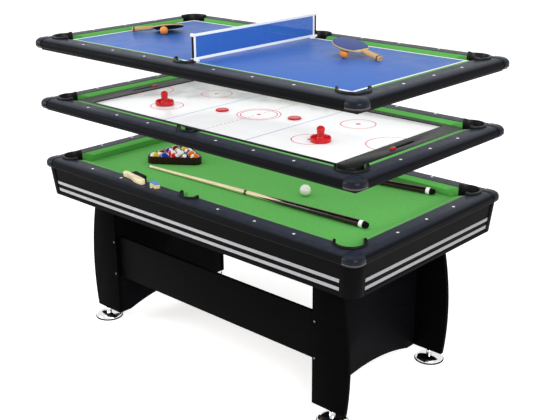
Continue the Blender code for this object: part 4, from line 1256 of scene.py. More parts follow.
@dataclass
class Apron(Assembly):
    """Four tapered boards with silver strips, and rounded corner posts."""

    body: str = "table"
    face_x: float = 0.908
    face_y: float = 0.483
    height: float = 0.130
    thickness: float = 0.018
    taper: float = 0.012
    reach: float = 0.060
    post_radius: float = 0.045
    post_proud: float = 0.003
    foot_height: float = 0.012
    foot_step: float = 0.0025
    strip_places: tuple[float, ...] = (0.52, 0.775)
    strip_height: float = 0.015
    rib_pitch: float = 0.005

    def leaned(self, mesh: Mesh) -> Mesh:
        """Lean a piece inward towards its foot and raise it to the table.

        Args:
            mesh: the piece below the bed's top, which is changed.

        Returns:
            The same mesh, in place.
        """
        for vertex in mesh.vertices:
            lean = self.taper * (BED - vertex.co.z) / self.height
            vertex.co.x -= math.copysign(lean, vertex.co.x)
            vertex.co.y -= math.copysign(lean, vertex.co.y)
        mesh.transform(lift(POOL_TOP))
        return mesh

    def run(self, section: Sequence[Flat], half_span: float) -> Mesh:
        """A section of (y, z) points run along the near side."""
        return lofted([[(x, y, z) for y, z in section] for x in (-half_span, half_span)])

    def board_section(self, face: float) -> list[Flat]:
        """Draw a board's section with its stepped foot.

        Args:
            face: the board's outer face, from the middle.

        Returns:
            Points of (y, z).
        """
        low = BED - self.height
        foot = low + self.foot_height
        out = -face - self.foot_step
        return [
            (-face, BED),
            (-face, foot + self.foot_step),
            (out + 0.0008, foot + 0.0004),
            (out, foot - 0.0008),
            (out, low + 0.0008),
            (out + 0.0008, low),
            (-face + self.thickness, low),
            (-face + self.thickness, BED),
        ]

    def strip_section(self, face: float, middle: float) -> list[Flat]:
        """Draw a strip's section: three rounded ribs.

        Args:
            face: the board's outer face, from the middle.
            middle: the strip's height.

        Returns:
            Points of (y, z).
        """
        back = -face + 0.0004
        low = middle - self.strip_height / 2
        points = [(back, low), (back, low + self.strip_height)]
        for rib in (2, 1, 0):
            for step in range(7):
                turn = math.pi * step / 6
                z = low + rib * self.rib_pitch + self.rib_pitch / 2 + 0.0023 * math.cos(turn)
                points.append((-face - 0.0010 - 0.0013 * math.sin(turn), z))
        return points

    def build(self) -> None:
        """Build the boards, strips and posts."""
        long_half = self.face_x - self.reach - JOINT
        end_half = self.face_y - self.reach - JOINT
        ways = (
            ("near", self.face_y, long_half, NO_TURN),
            ("far", self.face_y, long_half, HALF_TURN),
            ("right", self.face_x, end_half, QUARTER_TURN),
            ("left", self.face_x, end_half, BACK_TURN),
        )
        for side, face, half_span, turn in ways:
            board = moved(self.run(self.board_section(face), half_span), turn)
            self.add(f"apron_board_{side}", self.leaned(board), LAMINATE, "black_board", [f"apron_{side}"])
            for level, share in zip(("upper", "lower"), self.strip_places):
                section = self.strip_section(face, BED - share * self.height)
                strip = moved(self.run(section, half_span - 0.004), turn)
                self.add(f"apron_strip_{side}_{level}", self.leaned(strip), SILVER, "black_board")
        self.posts()

    def posts(self) -> None:
        """Four rounded posts, a little proud of the boards."""
        straight = self.reach - self.post_radius
        inner = self.reach - self.thickness - 0.0015
        outer = self.reach + self.post_proud
        curve = arc((straight, straight), self.post_radius + self.post_proud, math.pi / 2, 0.0, 24)
        inside = arc((straight, straight), inner - straight, 0.0, math.pi / 2, 24)
        outline = [(0.0, outer), *curve, (outer, 0.0), (inner, 0.0), *inside, (0.0, inner)]
        post = slab(outline, BED - self.height - 0.0002, BED + 0.0002)
        post = worked(post, bevel=0.0010, segments=3, angle=50.0)
        turns = corner_turns(self.face_x - self.reach, self.face_y - self.reach)
        for corner, turn in zip(CORNER_NAMES, turns):
            piece = self.leaned(moved(post, turn))
            self.add(f"apron_post_{corner}", piece, POST_PLASTIC, "black_board")


@dataclass
class Underframe(Assembly):
    """Leg panels, arched end panels, the stretcher, screws and levelling feet."""

    body: str = "table"
    leg_top: float = 0.6776
    leg_line: float = 0.340
    leg_inner: float = 0.605
    widest: float = 0.785
    widest_height: float = 0.240
    curve_radius: float = 1.320
    foot_height: float = 0.045
    panel_x: float = 0.617
    foot_line: float = 0.705
    half_thick: float = 0.010
    curve_steps: int = 32
    arch_margin: float = 0.050
    arch_height: float = 0.045
    stretcher: tuple[Point, Point] = ((-0.6066, -0.3296, 0.234), (0.6066, -0.3118, 0.437))
    screw_heights: Flat = (0.410, 0.250)
    screw_head: tuple[Flat, ...] = (
        (0.0, 0.0), (0.0042, 0.0), (0.0042, 0.0010), (0.0034, 0.0018), (0.0020, 0.0020), (0.0018, 0.0008),
        (0.0, 0.0008),
    )
    base_profile: tuple[Flat, ...] = (
        (0.0, 0.0), (0.0642, 0.0), (0.0650, 0.0008), (0.0650, 0.0042), (0.0642, 0.0054), (0.0620, 0.0056),
        (0.0620, 0.0007), (0.0, 0.0007),
    )
    disc_profile: tuple[Flat, ...] = (
        (0.0, 0.0008), (0.0600, 0.0008), (0.0616, 0.0016), (0.0619, 0.0030), (0.0619, 0.0058),
    )
    stem_profile: tuple[Flat, ...] = (
        (0.0130, 0.0264), (0.0130, 0.0432), (0.0122, 0.0444), (0.0050, 0.0444), (0.0050, 0.0745),
        (0.0, 0.0745),
    )

    def build(self) -> None:
        """Build the legs, panels, stretcher, screws and feet."""
        self.legs()
        self.panels()
        self.screws()
        self.feet()

    def leg_outline(self) -> list[Flat]:
        """Draw a leg in the x-z plane, straight inside and bulging outside.

        Returns:
            The outline's points.
        """
        outline = [(self.leg_inner, self.foot_height), (self.leg_inner, self.leg_top)]
        for i in range(self.curve_steps + 1):
            z = self.leg_top + (self.foot_height - self.leg_top) * i / self.curve_steps
            away = z - self.widest_height
            bulge = self.curve_radius - math.sqrt(self.curve_radius ** 2 - away ** 2)
            outline.append((self.widest - bulge, z))
        return outline

    def corners(self) -> list[tuple[str, str, int, int]]:
        """The four legs' ends and sides, each with its sign."""
        ends = (("right", 1), ("left", -1))
        return [(end, side, way, sign) for side, sign in (("near", -1), ("far", 1)) for end, way in ends]

    def legs(self) -> None:
        """Four curved leg panels with softened edges."""
        outline = self.leg_outline()
        leg = lofted([[(x, y, z) for x, z in outline] for y in (-self.half_thick, self.half_thick)])
        leg = worked(leg, bevel=0.0016, segments=3, angle=40.0)
        for end, side, way, sign in self.corners():
            place = shift(0.0, sign * self.leg_line) @ (NO_TURN if way > 0 else HALF_TURN)
            name = f"leg_panel_{end}_{side}"
            self.add(name, moved(leg, place), SHADED_LEG_LAMINATE, "black_board", [f"leg_{end}_{side}"])

    def panels(self) -> None:
        """Two arched end panels and the near stretcher."""
        half = self.leg_line - self.half_thick - JOINT
        span = half - self.arch_margin
        low, high = self.foot_height, self.leg_top
        outline = [(half, low), (half, high), (-half, high), (-half, low)]
        for i in range(self.curve_steps + 1):
            y = -span + 2 * span * i / self.curve_steps
            outline.append((y, low + self.arch_height * (1 - (y / span) ** 2)))
        panel = lofted([[(x, y, z) for y, z in outline] for x in (-self.half_thick, self.half_thick)])
        panel = worked(panel, bevel=0.0012, segments=2, angle=40.0)
        for end, x in (("right", self.panel_x), ("left", -self.panel_x)):
            arched = moved(panel, shift(x, 0.0))
            self.add(f"arched_panel_{end}", arched, SHADED_BLUE_LIT_END_LAMINATE, "black_board", [f"end_panel_{end}"])
        rail = eased(*self.stretcher, 0.0012)
        self.add("cross_panel", rail, SHADED_LAMINATE_LONG, "black_board", ["stretcher"])

    def screws(self) -> None:
        """Two socket screws through each leg into the panel behind."""
        head = turned(self.screw_head, 24)
        for end, side, way, sign in self.corners():
            face = sign * (self.leg_line + self.half_thick + 0.0001)
            turn = rotation(sign * -math.pi / 2, "X")
            pair = merged(moved(head, shift(way * self.panel_x, face, z) @ turn) for z in self.screw_heights)
            self.add(f"leg_screws_{end}_{side}", pair, SCREW_STEEL, "black_board")

    def feet(self) -> None:
        """Four chrome levelling feet on threaded stems."""
        base = turned(self.base_profile, 48)
        turns = [math.pi / 2 * i / 14 for i in range(1, 14)]
        dome = [(0.013 + 0.0489 * math.cos(turn), 0.0062 + 0.0196 * math.sin(turn)) for turn in turns]
        foot = turned([*self.disc_profile, *dome, *self.stem_profile], 48)
        for side, sign in (("near", -1), ("far", 1)):
            for end, way in (("left", -1), ("right", 1)):
                place = shift(way * self.foot_line, sign * self.leg_line)
                name = f"foot_{end}_{side}"
                node = [f"leveller_{end}_{side}"]
                self.add(f"levelling_{name}", moved(foot, place), CHROME, "chrome_foot", node, body=name)
                self.add(f"levelling_{name}_base", moved(base, place), BUMPER, "chrome_foot", body=name)


@dataclass
class BallSet(Assembly):
    """The rack with fifteen balls, and the cue ball."""

    body: str = "table"
    radius: float = 0.024
    rows: int = 5
    wall: float = 0.007
    height: float = 0.036
    place: Flat = (-0.5256, -0.013125)
    angle: float = math.radians(215.0)
    cue_place: Flat = (0.272, -0.007875)
    order: tuple[int, ...] = (5, 0, 6, 11, 13, 3, 12, 9, 10, 14, 4, 7, 2, 1, 8)
    colours: tuple[tuple[str, Colour], ...] = (
        ("yellow", (0.780, 0.480, 0.020)),
        ("blue", (0.020, 0.040, 0.350)),
        ("red", (0.560, 0.012, 0.012)),
        ("purple", (0.100, 0.020, 0.220)),
        ("orange", (0.760, 0.170, 0.010)),
        ("green", (0.010, 0.150, 0.060)),
        ("maroon", (0.200, 0.010, 0.014)),
        ("black", (0.008, 0.008, 0.008)),
    )

    def build(self) -> None:
        """Build the rack and the balls."""
        self.rack()
        self.balls()
        self.cue_ball()

    def outline(self, reach: float, radius: float) -> list[Flat]:
        """Draw a triangle with rounded corners.

        Args:
            reach: the corner circles' distance from the middle.
            radius: their radius.

        Returns:
            The outline's points.
        """
        points = []
        for k in range(3):
            turn = -math.pi / 2 + k * FULL_TURN / 3
            centre = (reach * math.cos(turn), reach * math.sin(turn))
            points += arc(centre, radius, turn - math.pi / 3, turn + math.pi / 3, 10)
        return points

    def rack(self) -> None:
        """The wooden rack, its edges rounded."""
        reach = (self.rows - 1) * (2 * self.radius + JOINT) / math.sqrt(3)
        inner = self.outline(reach, self.radius + JOINT)
        outer = self.outline(reach, self.radius + JOINT + self.wall)
        rings = levelled([(inner, 0.0), (outer, 0.0), (outer, self.height), (inner, self.height)])
        mesh = worked(lofted(rings, closed=True), bevel=0.0022, segments=3, angle=50.0)
        place = shift(*self.place, POOL_TOP + BED + SEAT) @ rotation(self.angle)
        self.add("rack_frame", mesh, RACK, "rack_wood", ["ball_rack"], place, "rack")

    def balls(self) -> None:
        """Fifteen racked balls, solid and striped, each turned its own way."""
        pitch = 2 * self.radius + 0.0001
        middle = shift(*self.place, POOL_TOP + BED + SEAT + self.radius) @ rotation(self.angle)
        places = [(row, place) for row in range(self.rows) for place in range(row + 1)]
        for count, ((row, place), kind) in enumerate(zip(places, self.order)):
            x = (place - row / 2) * pitch
            y = (row - 2 * (self.rows - 1) / 3) * pitch * math.sqrt(3) / 2
            name, colour = self.colours[kind % len(self.colours)]
            band = kind >= len(self.colours)
            title = f"{name} {'striped' if band else 'solid'} ball"
            finish = StripedBall(title, colour, 0.07, coat=0.9, relief=0.01, mottle=0.03, band=band)
            tilt = rotation(0.9 * count - 1.889) @ rotation(-0.8, "Y") @ rotation(0.5 + 0.8 * count, "X")
            nodes = [] if count else ["object_balls"]
            spot = middle @ shift(x, y) @ tilt
            self.add(f"ball_{count + 1}_{name}", ball_mesh(self.radius), finish, "object_ball", nodes, spot)

    def cue_ball(self) -> None:
        """The ivory cue ball."""
        place = shift(*self.cue_place, POOL_TOP + BED + SEAT + self.radius)
        ball = ball_mesh(self.radius)
        self.add("cue_ball_shown", ball, IVORY, "cue_ball", ["cue_ball"], place, "cue_ball_body")


@dataclass
class Cue(Assembly):
    """One two-piece cue: tip, ferrule, shaft, collar, forearm, butt, ring and bumper."""

    name: str
    tip: Flat
    angle: float
    node: str
    body: str = "table"
    length: float = 1.240
    tip_radius: float = 0.006
    butt_radius: float = 0.0145
    joint_radius: float = 0.0094
    bumper: float = 0.016
    joint_share: float = 0.485
    ferrule_foot: float = 0.0080
    ferrule_top: float = 0.0245
    taper_start: float = 0.019
    collar_length: float = 0.013
    collar_proud: float = 0.0004
    forearm_foot: float = 0.960
    butt_ring_foot: float = 0.022
    butt_cap_length: float = 0.005
    ease: float = 0.0004
    tip_profile: tuple[Flat, ...] = (
        (0.0, 0.0), (0.0030, 0.0003), (0.0048, 0.0016), (0.0057, 0.0040), (0.0058, 0.0080), (0.0, 0.0080),
    )
    bumper_profile: tuple[Flat, ...] = (
        (0.0, 0.0), (0.0118, 0.0), (0.0120, 0.008), (0.0106, 0.0145), (0.0080, 0.016), (0.0, 0.016),
    )

    def radius_at(self, z: float) -> float:
        """Find the cue's radius at a distance from its tip.

        Args:
            z: the distance from the tip.

        Returns:
            The radius.
        """
        joint = self.length * self.joint_share
        stick = self.length - self.bumper - self.butt_radius
        if z < joint:
            share = max(0.0, (z - self.taper_start) / (joint - self.taper_start))
            return self.tip_radius + (self.joint_radius - self.tip_radius) * share
        share = min(1.0, (z - joint) / (stick - joint))
        return self.joint_radius + (self.butt_radius - self.joint_radius) * share

    def run(self, low: float, high: float, extra: float = 0.0, steps: int = 6) -> Mesh:
        """Turn a length of the cue, its ends a little eased.

        Args:
            low: its start, from the tip.
            high: its end.
            extra: how far it stands proud of the cue.
            steps: how many steps its taper has.

        Returns:
            The length's mesh.
        """
        profile = [(0.0, low), (self.radius_at(low) + extra - self.ease, low)]
        for i in range(steps + 1):
            z = low + self.ease + (high - low - 2 * self.ease) * i / steps
            profile.append((self.radius_at(z) + extra, z))
        profile += [(self.radius_at(high) + extra - self.ease, high), (0.0, high)]
        return turned(profile, 32)

    def build(self) -> None:
        """Build the cue's lengths in place."""
        run = self.length - self.bumper - self.butt_radius - self.tip_radius
        tilt = math.atan((self.butt_radius - self.tip_radius) / run)
        place = shift(*self.tip, POOL_TOP + BED + 2 * SEAT + self.tip_radius)
        place = place @ rotation(self.angle) @ rotation(math.pi / 2 - tilt, "Y")
        end = self.length - self.bumper
        joint = self.length * self.joint_share
        collar = joint + self.collar_length
        ring, cap = end - self.butt_ring_foot, end - self.butt_cap_length
        for what, mesh, finish in (
            ("shaft", self.run(self.ferrule_top, joint), SHAFT),
            ("tip", turned(self.tip_profile, 32), LEATHER_TIP),
            ("ferrule", self.run(self.ferrule_foot, self.ferrule_top), FERRULE),
            ("collar", self.run(joint, collar, self.collar_proud, 2), COLLAR),
            ("forearm", self.run(collar, self.forearm_foot), ASH),
            ("butt", self.run(self.forearm_foot, ring), BUTT),
            ("butt_ring", self.run(ring, cap, 0.0, 2), FERRULE),
            ("butt_cap", self.run(cap, end, 0.0, 2), BUTT),
            ("bumper", turned([(r, end + z) for r, z in self.bumper_profile], 32), BUMPER),
        ):
            nodes = node_of({"shaft": self.node}, what)
            self.add(f"{self.name}_{what}", mesh, finish, "cue_maple", nodes, place)


@dataclass
class RailTools(Assembly):
    """Two chalk cubes and the table brush, on the near rail."""

    body: str = "table"
    chalk_size: float = 0.022
    chalk_x: float = -0.2032
    chalk_y: float = -0.436
    chalk_step: float = 0.027
    brush_place: Flat = (-0.3288, -0.437)
    brush_angle: float = math.radians(-9.0)
    brush_length: float = 0.160
    brush_width: float = 0.022
    brush_height: float = 0.024
    brush_wave: float = 0.005
    block_length: float = 0.085
    dish_depth: float = 0.0025
    paper_foot: float = 0.0006
    paper_top: float = 0.0165
    chalk_turn: float = math.radians(20.0)
    end_share: float = 0.88
    tuft_columns: int = 44
    tuft_rows: int = 13
    tuft_length: float = 0.0255
    tuft_turns: tuple[float, ...] = (0.5, 2.6, 4.7)

    def build(self) -> None:
        """Build the chalk and the brush."""
        self.chalk()
        self.brush()

    def chalk(self) -> None:
        """Two dished cubes of chalk in paper sleeves."""
        half = self.chalk_size / 2
        dish = ball_mesh(self.chalk_size * 0.9)
        dish.transform(lift(self.chalk_size * 1.9 - self.dish_depth))
        cube = block((-half, -half, 0.0), (half, half, self.chalk_size))
        cube = worked(cube, [dish], bevel=0.0010, segments=2)
        outer = half + 0.0003
        square = [(-outer, -outer), (outer, -outer), (outer, outer), (-outer, outer)]
        inner = [(x * 0.96, y * 0.96) for x, y in square]
        low, high = self.paper_foot, self.paper_top
        rings = levelled([(inner, low), (square, low), (square, high), (inner, high)])
        paper = worked(lofted(rings, closed=True), bevel=0.0003, segments=2)
        for k, side in enumerate(("left", "right")):
            x = self.chalk_x + k * self.chalk_step
            y = self.chalk_y - k * self.chalk_step / 4
            place = shift(x, y, POOL_TOP + SEAT) @ rotation(self.chalk_turn * (1 - 2 * k))
            self.add(f"chalk_cube_{side}", cube, CHALK, "chalk", [f"chalk_{side}"], place)
            self.add(f"chalk_paper_{side}", paper, CHALK_LABEL, "chalk", matrix=place)

    def brush_outline(self, steps: int = 48) -> list[Flat]:
        """Draw the wooden back: a waved grip, flat behind the bristles.

        Args:
            steps: how many steps each long side has.

        Returns:
            The outline's points.
        """
        front = []
        back = []
        flat = self.block_length / 2 + 0.010
        for i in range(steps + 1):
            x = self.brush_length * (i / steps - 0.5)
            wave = self.brush_wave * math.sin(FULL_TURN * i / steps)
            away = abs(x) / (self.brush_length / 2)
            near_end = (away - self.end_share) / (1.0 - self.end_share)
            slim = self.brush_width / 2 * (1.0 if away < self.end_share else 1.0 - 0.45 * near_end ** 2)
            front.append((x, -slim + wave))
            waved = max(0.0, min(1.0, (abs(x) - flat) / 0.020))
            back.append((x, slim + wave * waved))
        return [*front, *reversed(back)]

    def tuft(self, shape: bmesh.types.BMesh, i: int, j: int) -> None:
        """Add one tuft of bristle, a little astray from its neighbours.

        Args:
            shape: the shape that takes it.
            i: its column.
            j: its row.
        """
        seed = math.sin(12.9898 * i + 78.233 * j) * 43758.5453
        stray = seed - math.floor(seed) - 0.5
        x = self.block_length * ((i + 0.5) / self.tuft_columns - 0.5) + 0.0006 * stray
        z = self.brush_height * ((j + 0.5) / self.tuft_rows) + 0.0005 * stray
        splay_x = x * 0.05 + 0.0016 * stray
        splay_z = (z - self.brush_height / 2) * 0.06
        face = self.brush_width / 2 + SEAT
        tip = face + (self.tuft_length + 0.0010 * stray)
        ends = ((x, face, z, 0.0009, 0.0008), (x + splay_x, tip, z + splay_z, 0.00065, 0.0006))
        foot, head = (
            [shape.verts.new((u + ru * math.cos(a), v, w + rw * math.sin(a))) for a in self.tuft_turns]
            for u, v, w, ru, rw in ends
        )
        for k in range(3):
            n = (k + 1) % 3
            shape.faces.new((foot[k], foot[n], head[n], head[k]))
        shape.faces.new(head)
        shape.faces.new(foot[::-1])

    def brush(self) -> None:
        """The waved wooden back and its tufts of bristle."""
        place = shift(*self.brush_place, POOL_TOP + SEAT) @ rotation(self.brush_angle)
        back = slab(self.brush_outline(), 0.0, self.brush_height)
        back = worked(back, bevel=0.0032, segments=4, angle=50.0)
        self.add("brush_back", back, BRUSH_WOOD, "brush_wood", ["brush_handle"], place)
        shape = bmesh.new()
        for i in range(self.tuft_columns):
            for j in range(self.tuft_rows):
                self.tuft(shape, i, j)
        tufts = outward(shape, 0.0000001)
        self.add("brush_tufts", tufts, BRISTLE, "bristle", ["brush_bristles"], place)


@dataclass
class UpperBase(Assembly):
    """The board under an upper tier's rails."""

    tier: str
    top: float
    body: str
    node: str
    rail_width: float = 0.118
    inset: float = 0.026
    thickness: float = 0.012

    def build(self) -> None:
        """Build the base board."""
        half_x = PLAY_X + self.rail_width - self.inset
        half_y = PLAY_Y + self.rail_width - self.inset
        board = eased((-half_x, -half_y, BED - self.thickness), (half_x, half_y, BED), 0.0010, 2)
        self.add(f"{self.tier}_base_board", board, BLACK_BOARD, "green_board", [self.node], lift(self.top))


@dataclass
class HockeyTop(Assembly):
    """The slide hockey tray, field, markings, score sliders, pushers and pucks."""

    body: str = "hockey_top"
    half_x: float = 0.796
    half_y: float = 0.371
    end_border: float = 0.090
    side_border: float = 0.028
    corner_cut: float = 0.022
    slot_x: float = 0.751
    line: float = 0.0042
    slot_half: Flat = (0.008, 0.075)
    field_top: float = BOARD_TOP - 0.005
    slot_floor: float = BOARD_TOP - 0.010
    ink_gap: float = 0.00006
    ink: float = 0.00012
    circles: Flat = (0.095, 0.080)
    dash: float = 0.024
    dash_share: float = 0.6
    dash_half: float = 0.0016
    face_off: Flat = (0.420, 0.154)
    face_off_radius: float = 0.073
    goal_radius: float = 0.100
    blue_line: float = 0.240
    blue_half: float = 0.0022
    slider_y: float = 0.061
    pusher_places: tuple[Flat, Flat] = ((-0.440, -0.150), (0.472, -0.150))
    puck_places: tuple[Flat, Flat] = ((-0.168, -0.05625), (0.1648, 0.045))
    pusher_profile: tuple[Flat, ...] = (
        (0.0, 0.0012), (0.038, 0.0012), (0.0400, 0.0014), (0.0414, 0.0026), (0.0420, 0.0050),
        (0.0420, 0.0150), (0.0414, 0.0178), (0.0398, 0.0194), (0.0382, 0.0200), (0.0368, 0.0192),
        (0.0360, 0.0172), (0.0352, 0.0120), (0.0330, 0.0102), (0.0250, 0.0098), (0.0206, 0.0106),
        (0.0176, 0.0136), (0.0156, 0.0190), (0.0148, 0.0270), (0.0150, 0.0370), (0.0160, 0.0440),
    )
    knob_radius: float = 0.0170
    knob_base: float = 0.0480
    knob_rise: float = 0.0150
    pad_radius: float = 0.0385
    pad_height: float = 0.0012
    puck_profile: tuple[Flat, ...] = (
        (0.0, 0.0), (0.0280, 0.0), (0.0287, 0.0003), (0.0290, 0.0010), (0.0290, 0.0050), (0.0287, 0.0057),
        (0.0280, 0.0060), (0.0230, 0.0060), (0.0225, 0.0055), (0.0205, 0.0055), (0.0200, 0.0060),
        (0.0, 0.0060),
    )

    def build(self) -> None:
        """Build the tray, the field with its markings and the playing pieces."""
        self.tray()
        self.field()
        self.markings()
        self.sliders()
        self.pushers()
        self.pucks()

    def tray(self) -> None:
        """The black border with chamfered corners and two score slots."""
        field_x = self.half_x - self.end_border
        field_y = self.half_y - self.side_border
        well = block((-field_x, -field_y, -0.1), (field_x, field_y, 0.1))
        wide, long = self.slot_half
        ends = (-self.slot_x, self.slot_x)
        slots = merged(block((x - wide, -long, self.slot_floor), (x + wide, long, 0.1)) for x in ends)
        plate = slab(chamfered(self.half_x, self.half_y, self.corner_cut), BED + SEAT, BOARD_TOP)
        tray = worked(plate, [well, slots], bevel=0.0010, segments=2)
        self.add("hockey_border", tray, TRAY, "hockey_tray", ["hockey_tray"], lift(HOCKEY_TOP))

    def field(self) -> None:
        """The glossy white field."""
        x = self.half_x - self.end_border - JOINT
        y = self.half_y - self.side_border - JOINT
        field = eased((-x, -y, BED + SEAT), (x, y, self.field_top), 0.0006, 2)
        self.add("hockey_white_field", field, FIELD, "hockey_field", ["hockey_field"], lift(HOCKEY_TOP))

    def band(
        self, centre: Flat, radius: float, width: float, start: float = 0.0, end: float = FULL_TURN
    ) -> Mesh:
        """Draw a thin printed ring, or part of one.

        Args:
            centre: its centre on the field.
            radius: the radius of the line's middle.
            width: the line's width.
            start: the first angle.
            end: the last angle.

        Returns:
            The ring's mesh.
        """
        low = self.field_top + self.ink_gap
        steps = max(8, int(64 * (end - start) / FULL_TURN))
        inner, outer = max(0.0, radius - width / 2), radius + width / 2
        profile = [(inner, low), (outer, low), (outer, low + self.ink), (inner, low + self.ink)]
        return moved(turned(profile, steps, start, end - start), shift(*centre))

    def stripe(self, low: Flat, high: Flat) -> Mesh:
        """A thin printed bar between two corners."""
        z = self.field_top + self.ink_gap
        return block((*low, z), (*high, z + self.ink))

    def markings(self) -> None:
        """Centre circles, face-off rings and spots, goal creases, and the centre and blue lines."""
        field_x = self.half_x - self.end_border - 0.0006
        field_y = self.half_y - self.side_border - 0.0006
        centre = [self.band((0.0, 0.0), radius, self.line) for radius in self.circles]
        centre.append(self.band((0.0, 0.0), 0.005, 0.010))
        count = int(field_y / self.dash)
        for k in range(-count, count):
            low = (k + 0.2) * self.dash
            high = low + self.dash * self.dash_share
            if min(abs(low), abs(high)) > 0.010:
                centre.append(self.stripe((-self.dash_half, low), (self.dash_half, high)))
        self.print_on("centre_marks", centre, INK_RED)
        spots = []
        for sx in (-1, 1):
            for sy in (-1, 1):
                place = (sx * self.face_off[0], sy * self.face_off[1])
                spots += [self.band(place, self.face_off_radius, self.line), self.band(place, 0.0055, 0.011)]
        self.print_on("face_off_marks", spots, INK_RED)
        goals = []
        for turn, sign in ((math.pi / 2, 1), (-math.pi / 2, -1)):
            place = (sign * (field_x - 0.003), 0.0)
            goals.append(self.band(place, self.goal_radius, self.line, turn, turn + math.pi))
        self.print_on("goal_marks", goals, INK_RED)
        half = self.blue_half
        places = (-self.blue_line, self.blue_line)
        lines = [self.stripe((x - half, -field_y), (x + half, field_y)) for x in places]
        self.print_on("blue_line_marks", lines, INK_BLUE)

    def print_on(self, name: str, meshes: Sequence[Mesh], ink: Finish) -> None:
        """Show one group of markings in one ink."""
        self.add(f"hockey_{name}", merged(meshes), ink, "hockey_field", matrix=lift(HOCKEY_TOP))

    def sliders(self) -> None:
        """Two red score sliders with a grip ridge."""
        body = eased((-0.0073, -0.012, 0.0), (0.0073, 0.012, 0.0145), 0.0020)
        ridge = eased((-0.0050, -0.0016, 0.0125), (0.0050, 0.0016, 0.0160), 0.0010)
        slider = merged([body, ridge])
        for end, sign in (("left", -1), ("right", 1)):
            place = shift(sign * self.slot_x, -sign * self.slider_y, HOCKEY_TOP + self.slot_floor + SEAT)
            name = f"slider_{end}"
            nodes = [f"score_{name}"]
            self.add(f"score_{name}_shown", slider, RED, "moulded_red", nodes, place, f"{name}_body")

    def pushers(self) -> None:
        """Two red pushers: a curled rim round a dish, and a domed knob."""
        radius, base, rise = self.knob_radius, self.knob_base, self.knob_rise
        turns = [math.pi / 2 * i / 8 for i in range(9)]
        dome = [(radius * math.cos(turn), base + rise * math.sin(turn)) for turn in turns]
        pusher = turned([*self.pusher_profile, *dome], 56)
        pad = disc(self.pad_radius, 0.0, self.pad_height, 56)
        for end, spot in zip(("left", "right"), self.pusher_places):
            place = shift(*spot, HOCKEY_TOP + self.field_top + SEAT)
            name = f"pusher_{end}"
            self.add(f"{name}_shown", pusher, RED, "moulded_red", [name], place, f"{name}_body")
            self.add(f"{name}_pad", pad, FELT_PAD, "moulded_red", (), place, f"{name}_body")

    def pucks(self) -> None:
        """Two flat red pucks with a turned groove."""
        puck = turned(self.puck_profile, 56)
        for end, spot in zip(("left", "right"), self.puck_places):
            name = f"puck_{end}"
            place = shift(*spot, HOCKEY_TOP + self.field_top + SEAT)
            self.add(f"{name}_shown", puck, RED, "moulded_red", [name], place, f"{name}_body")


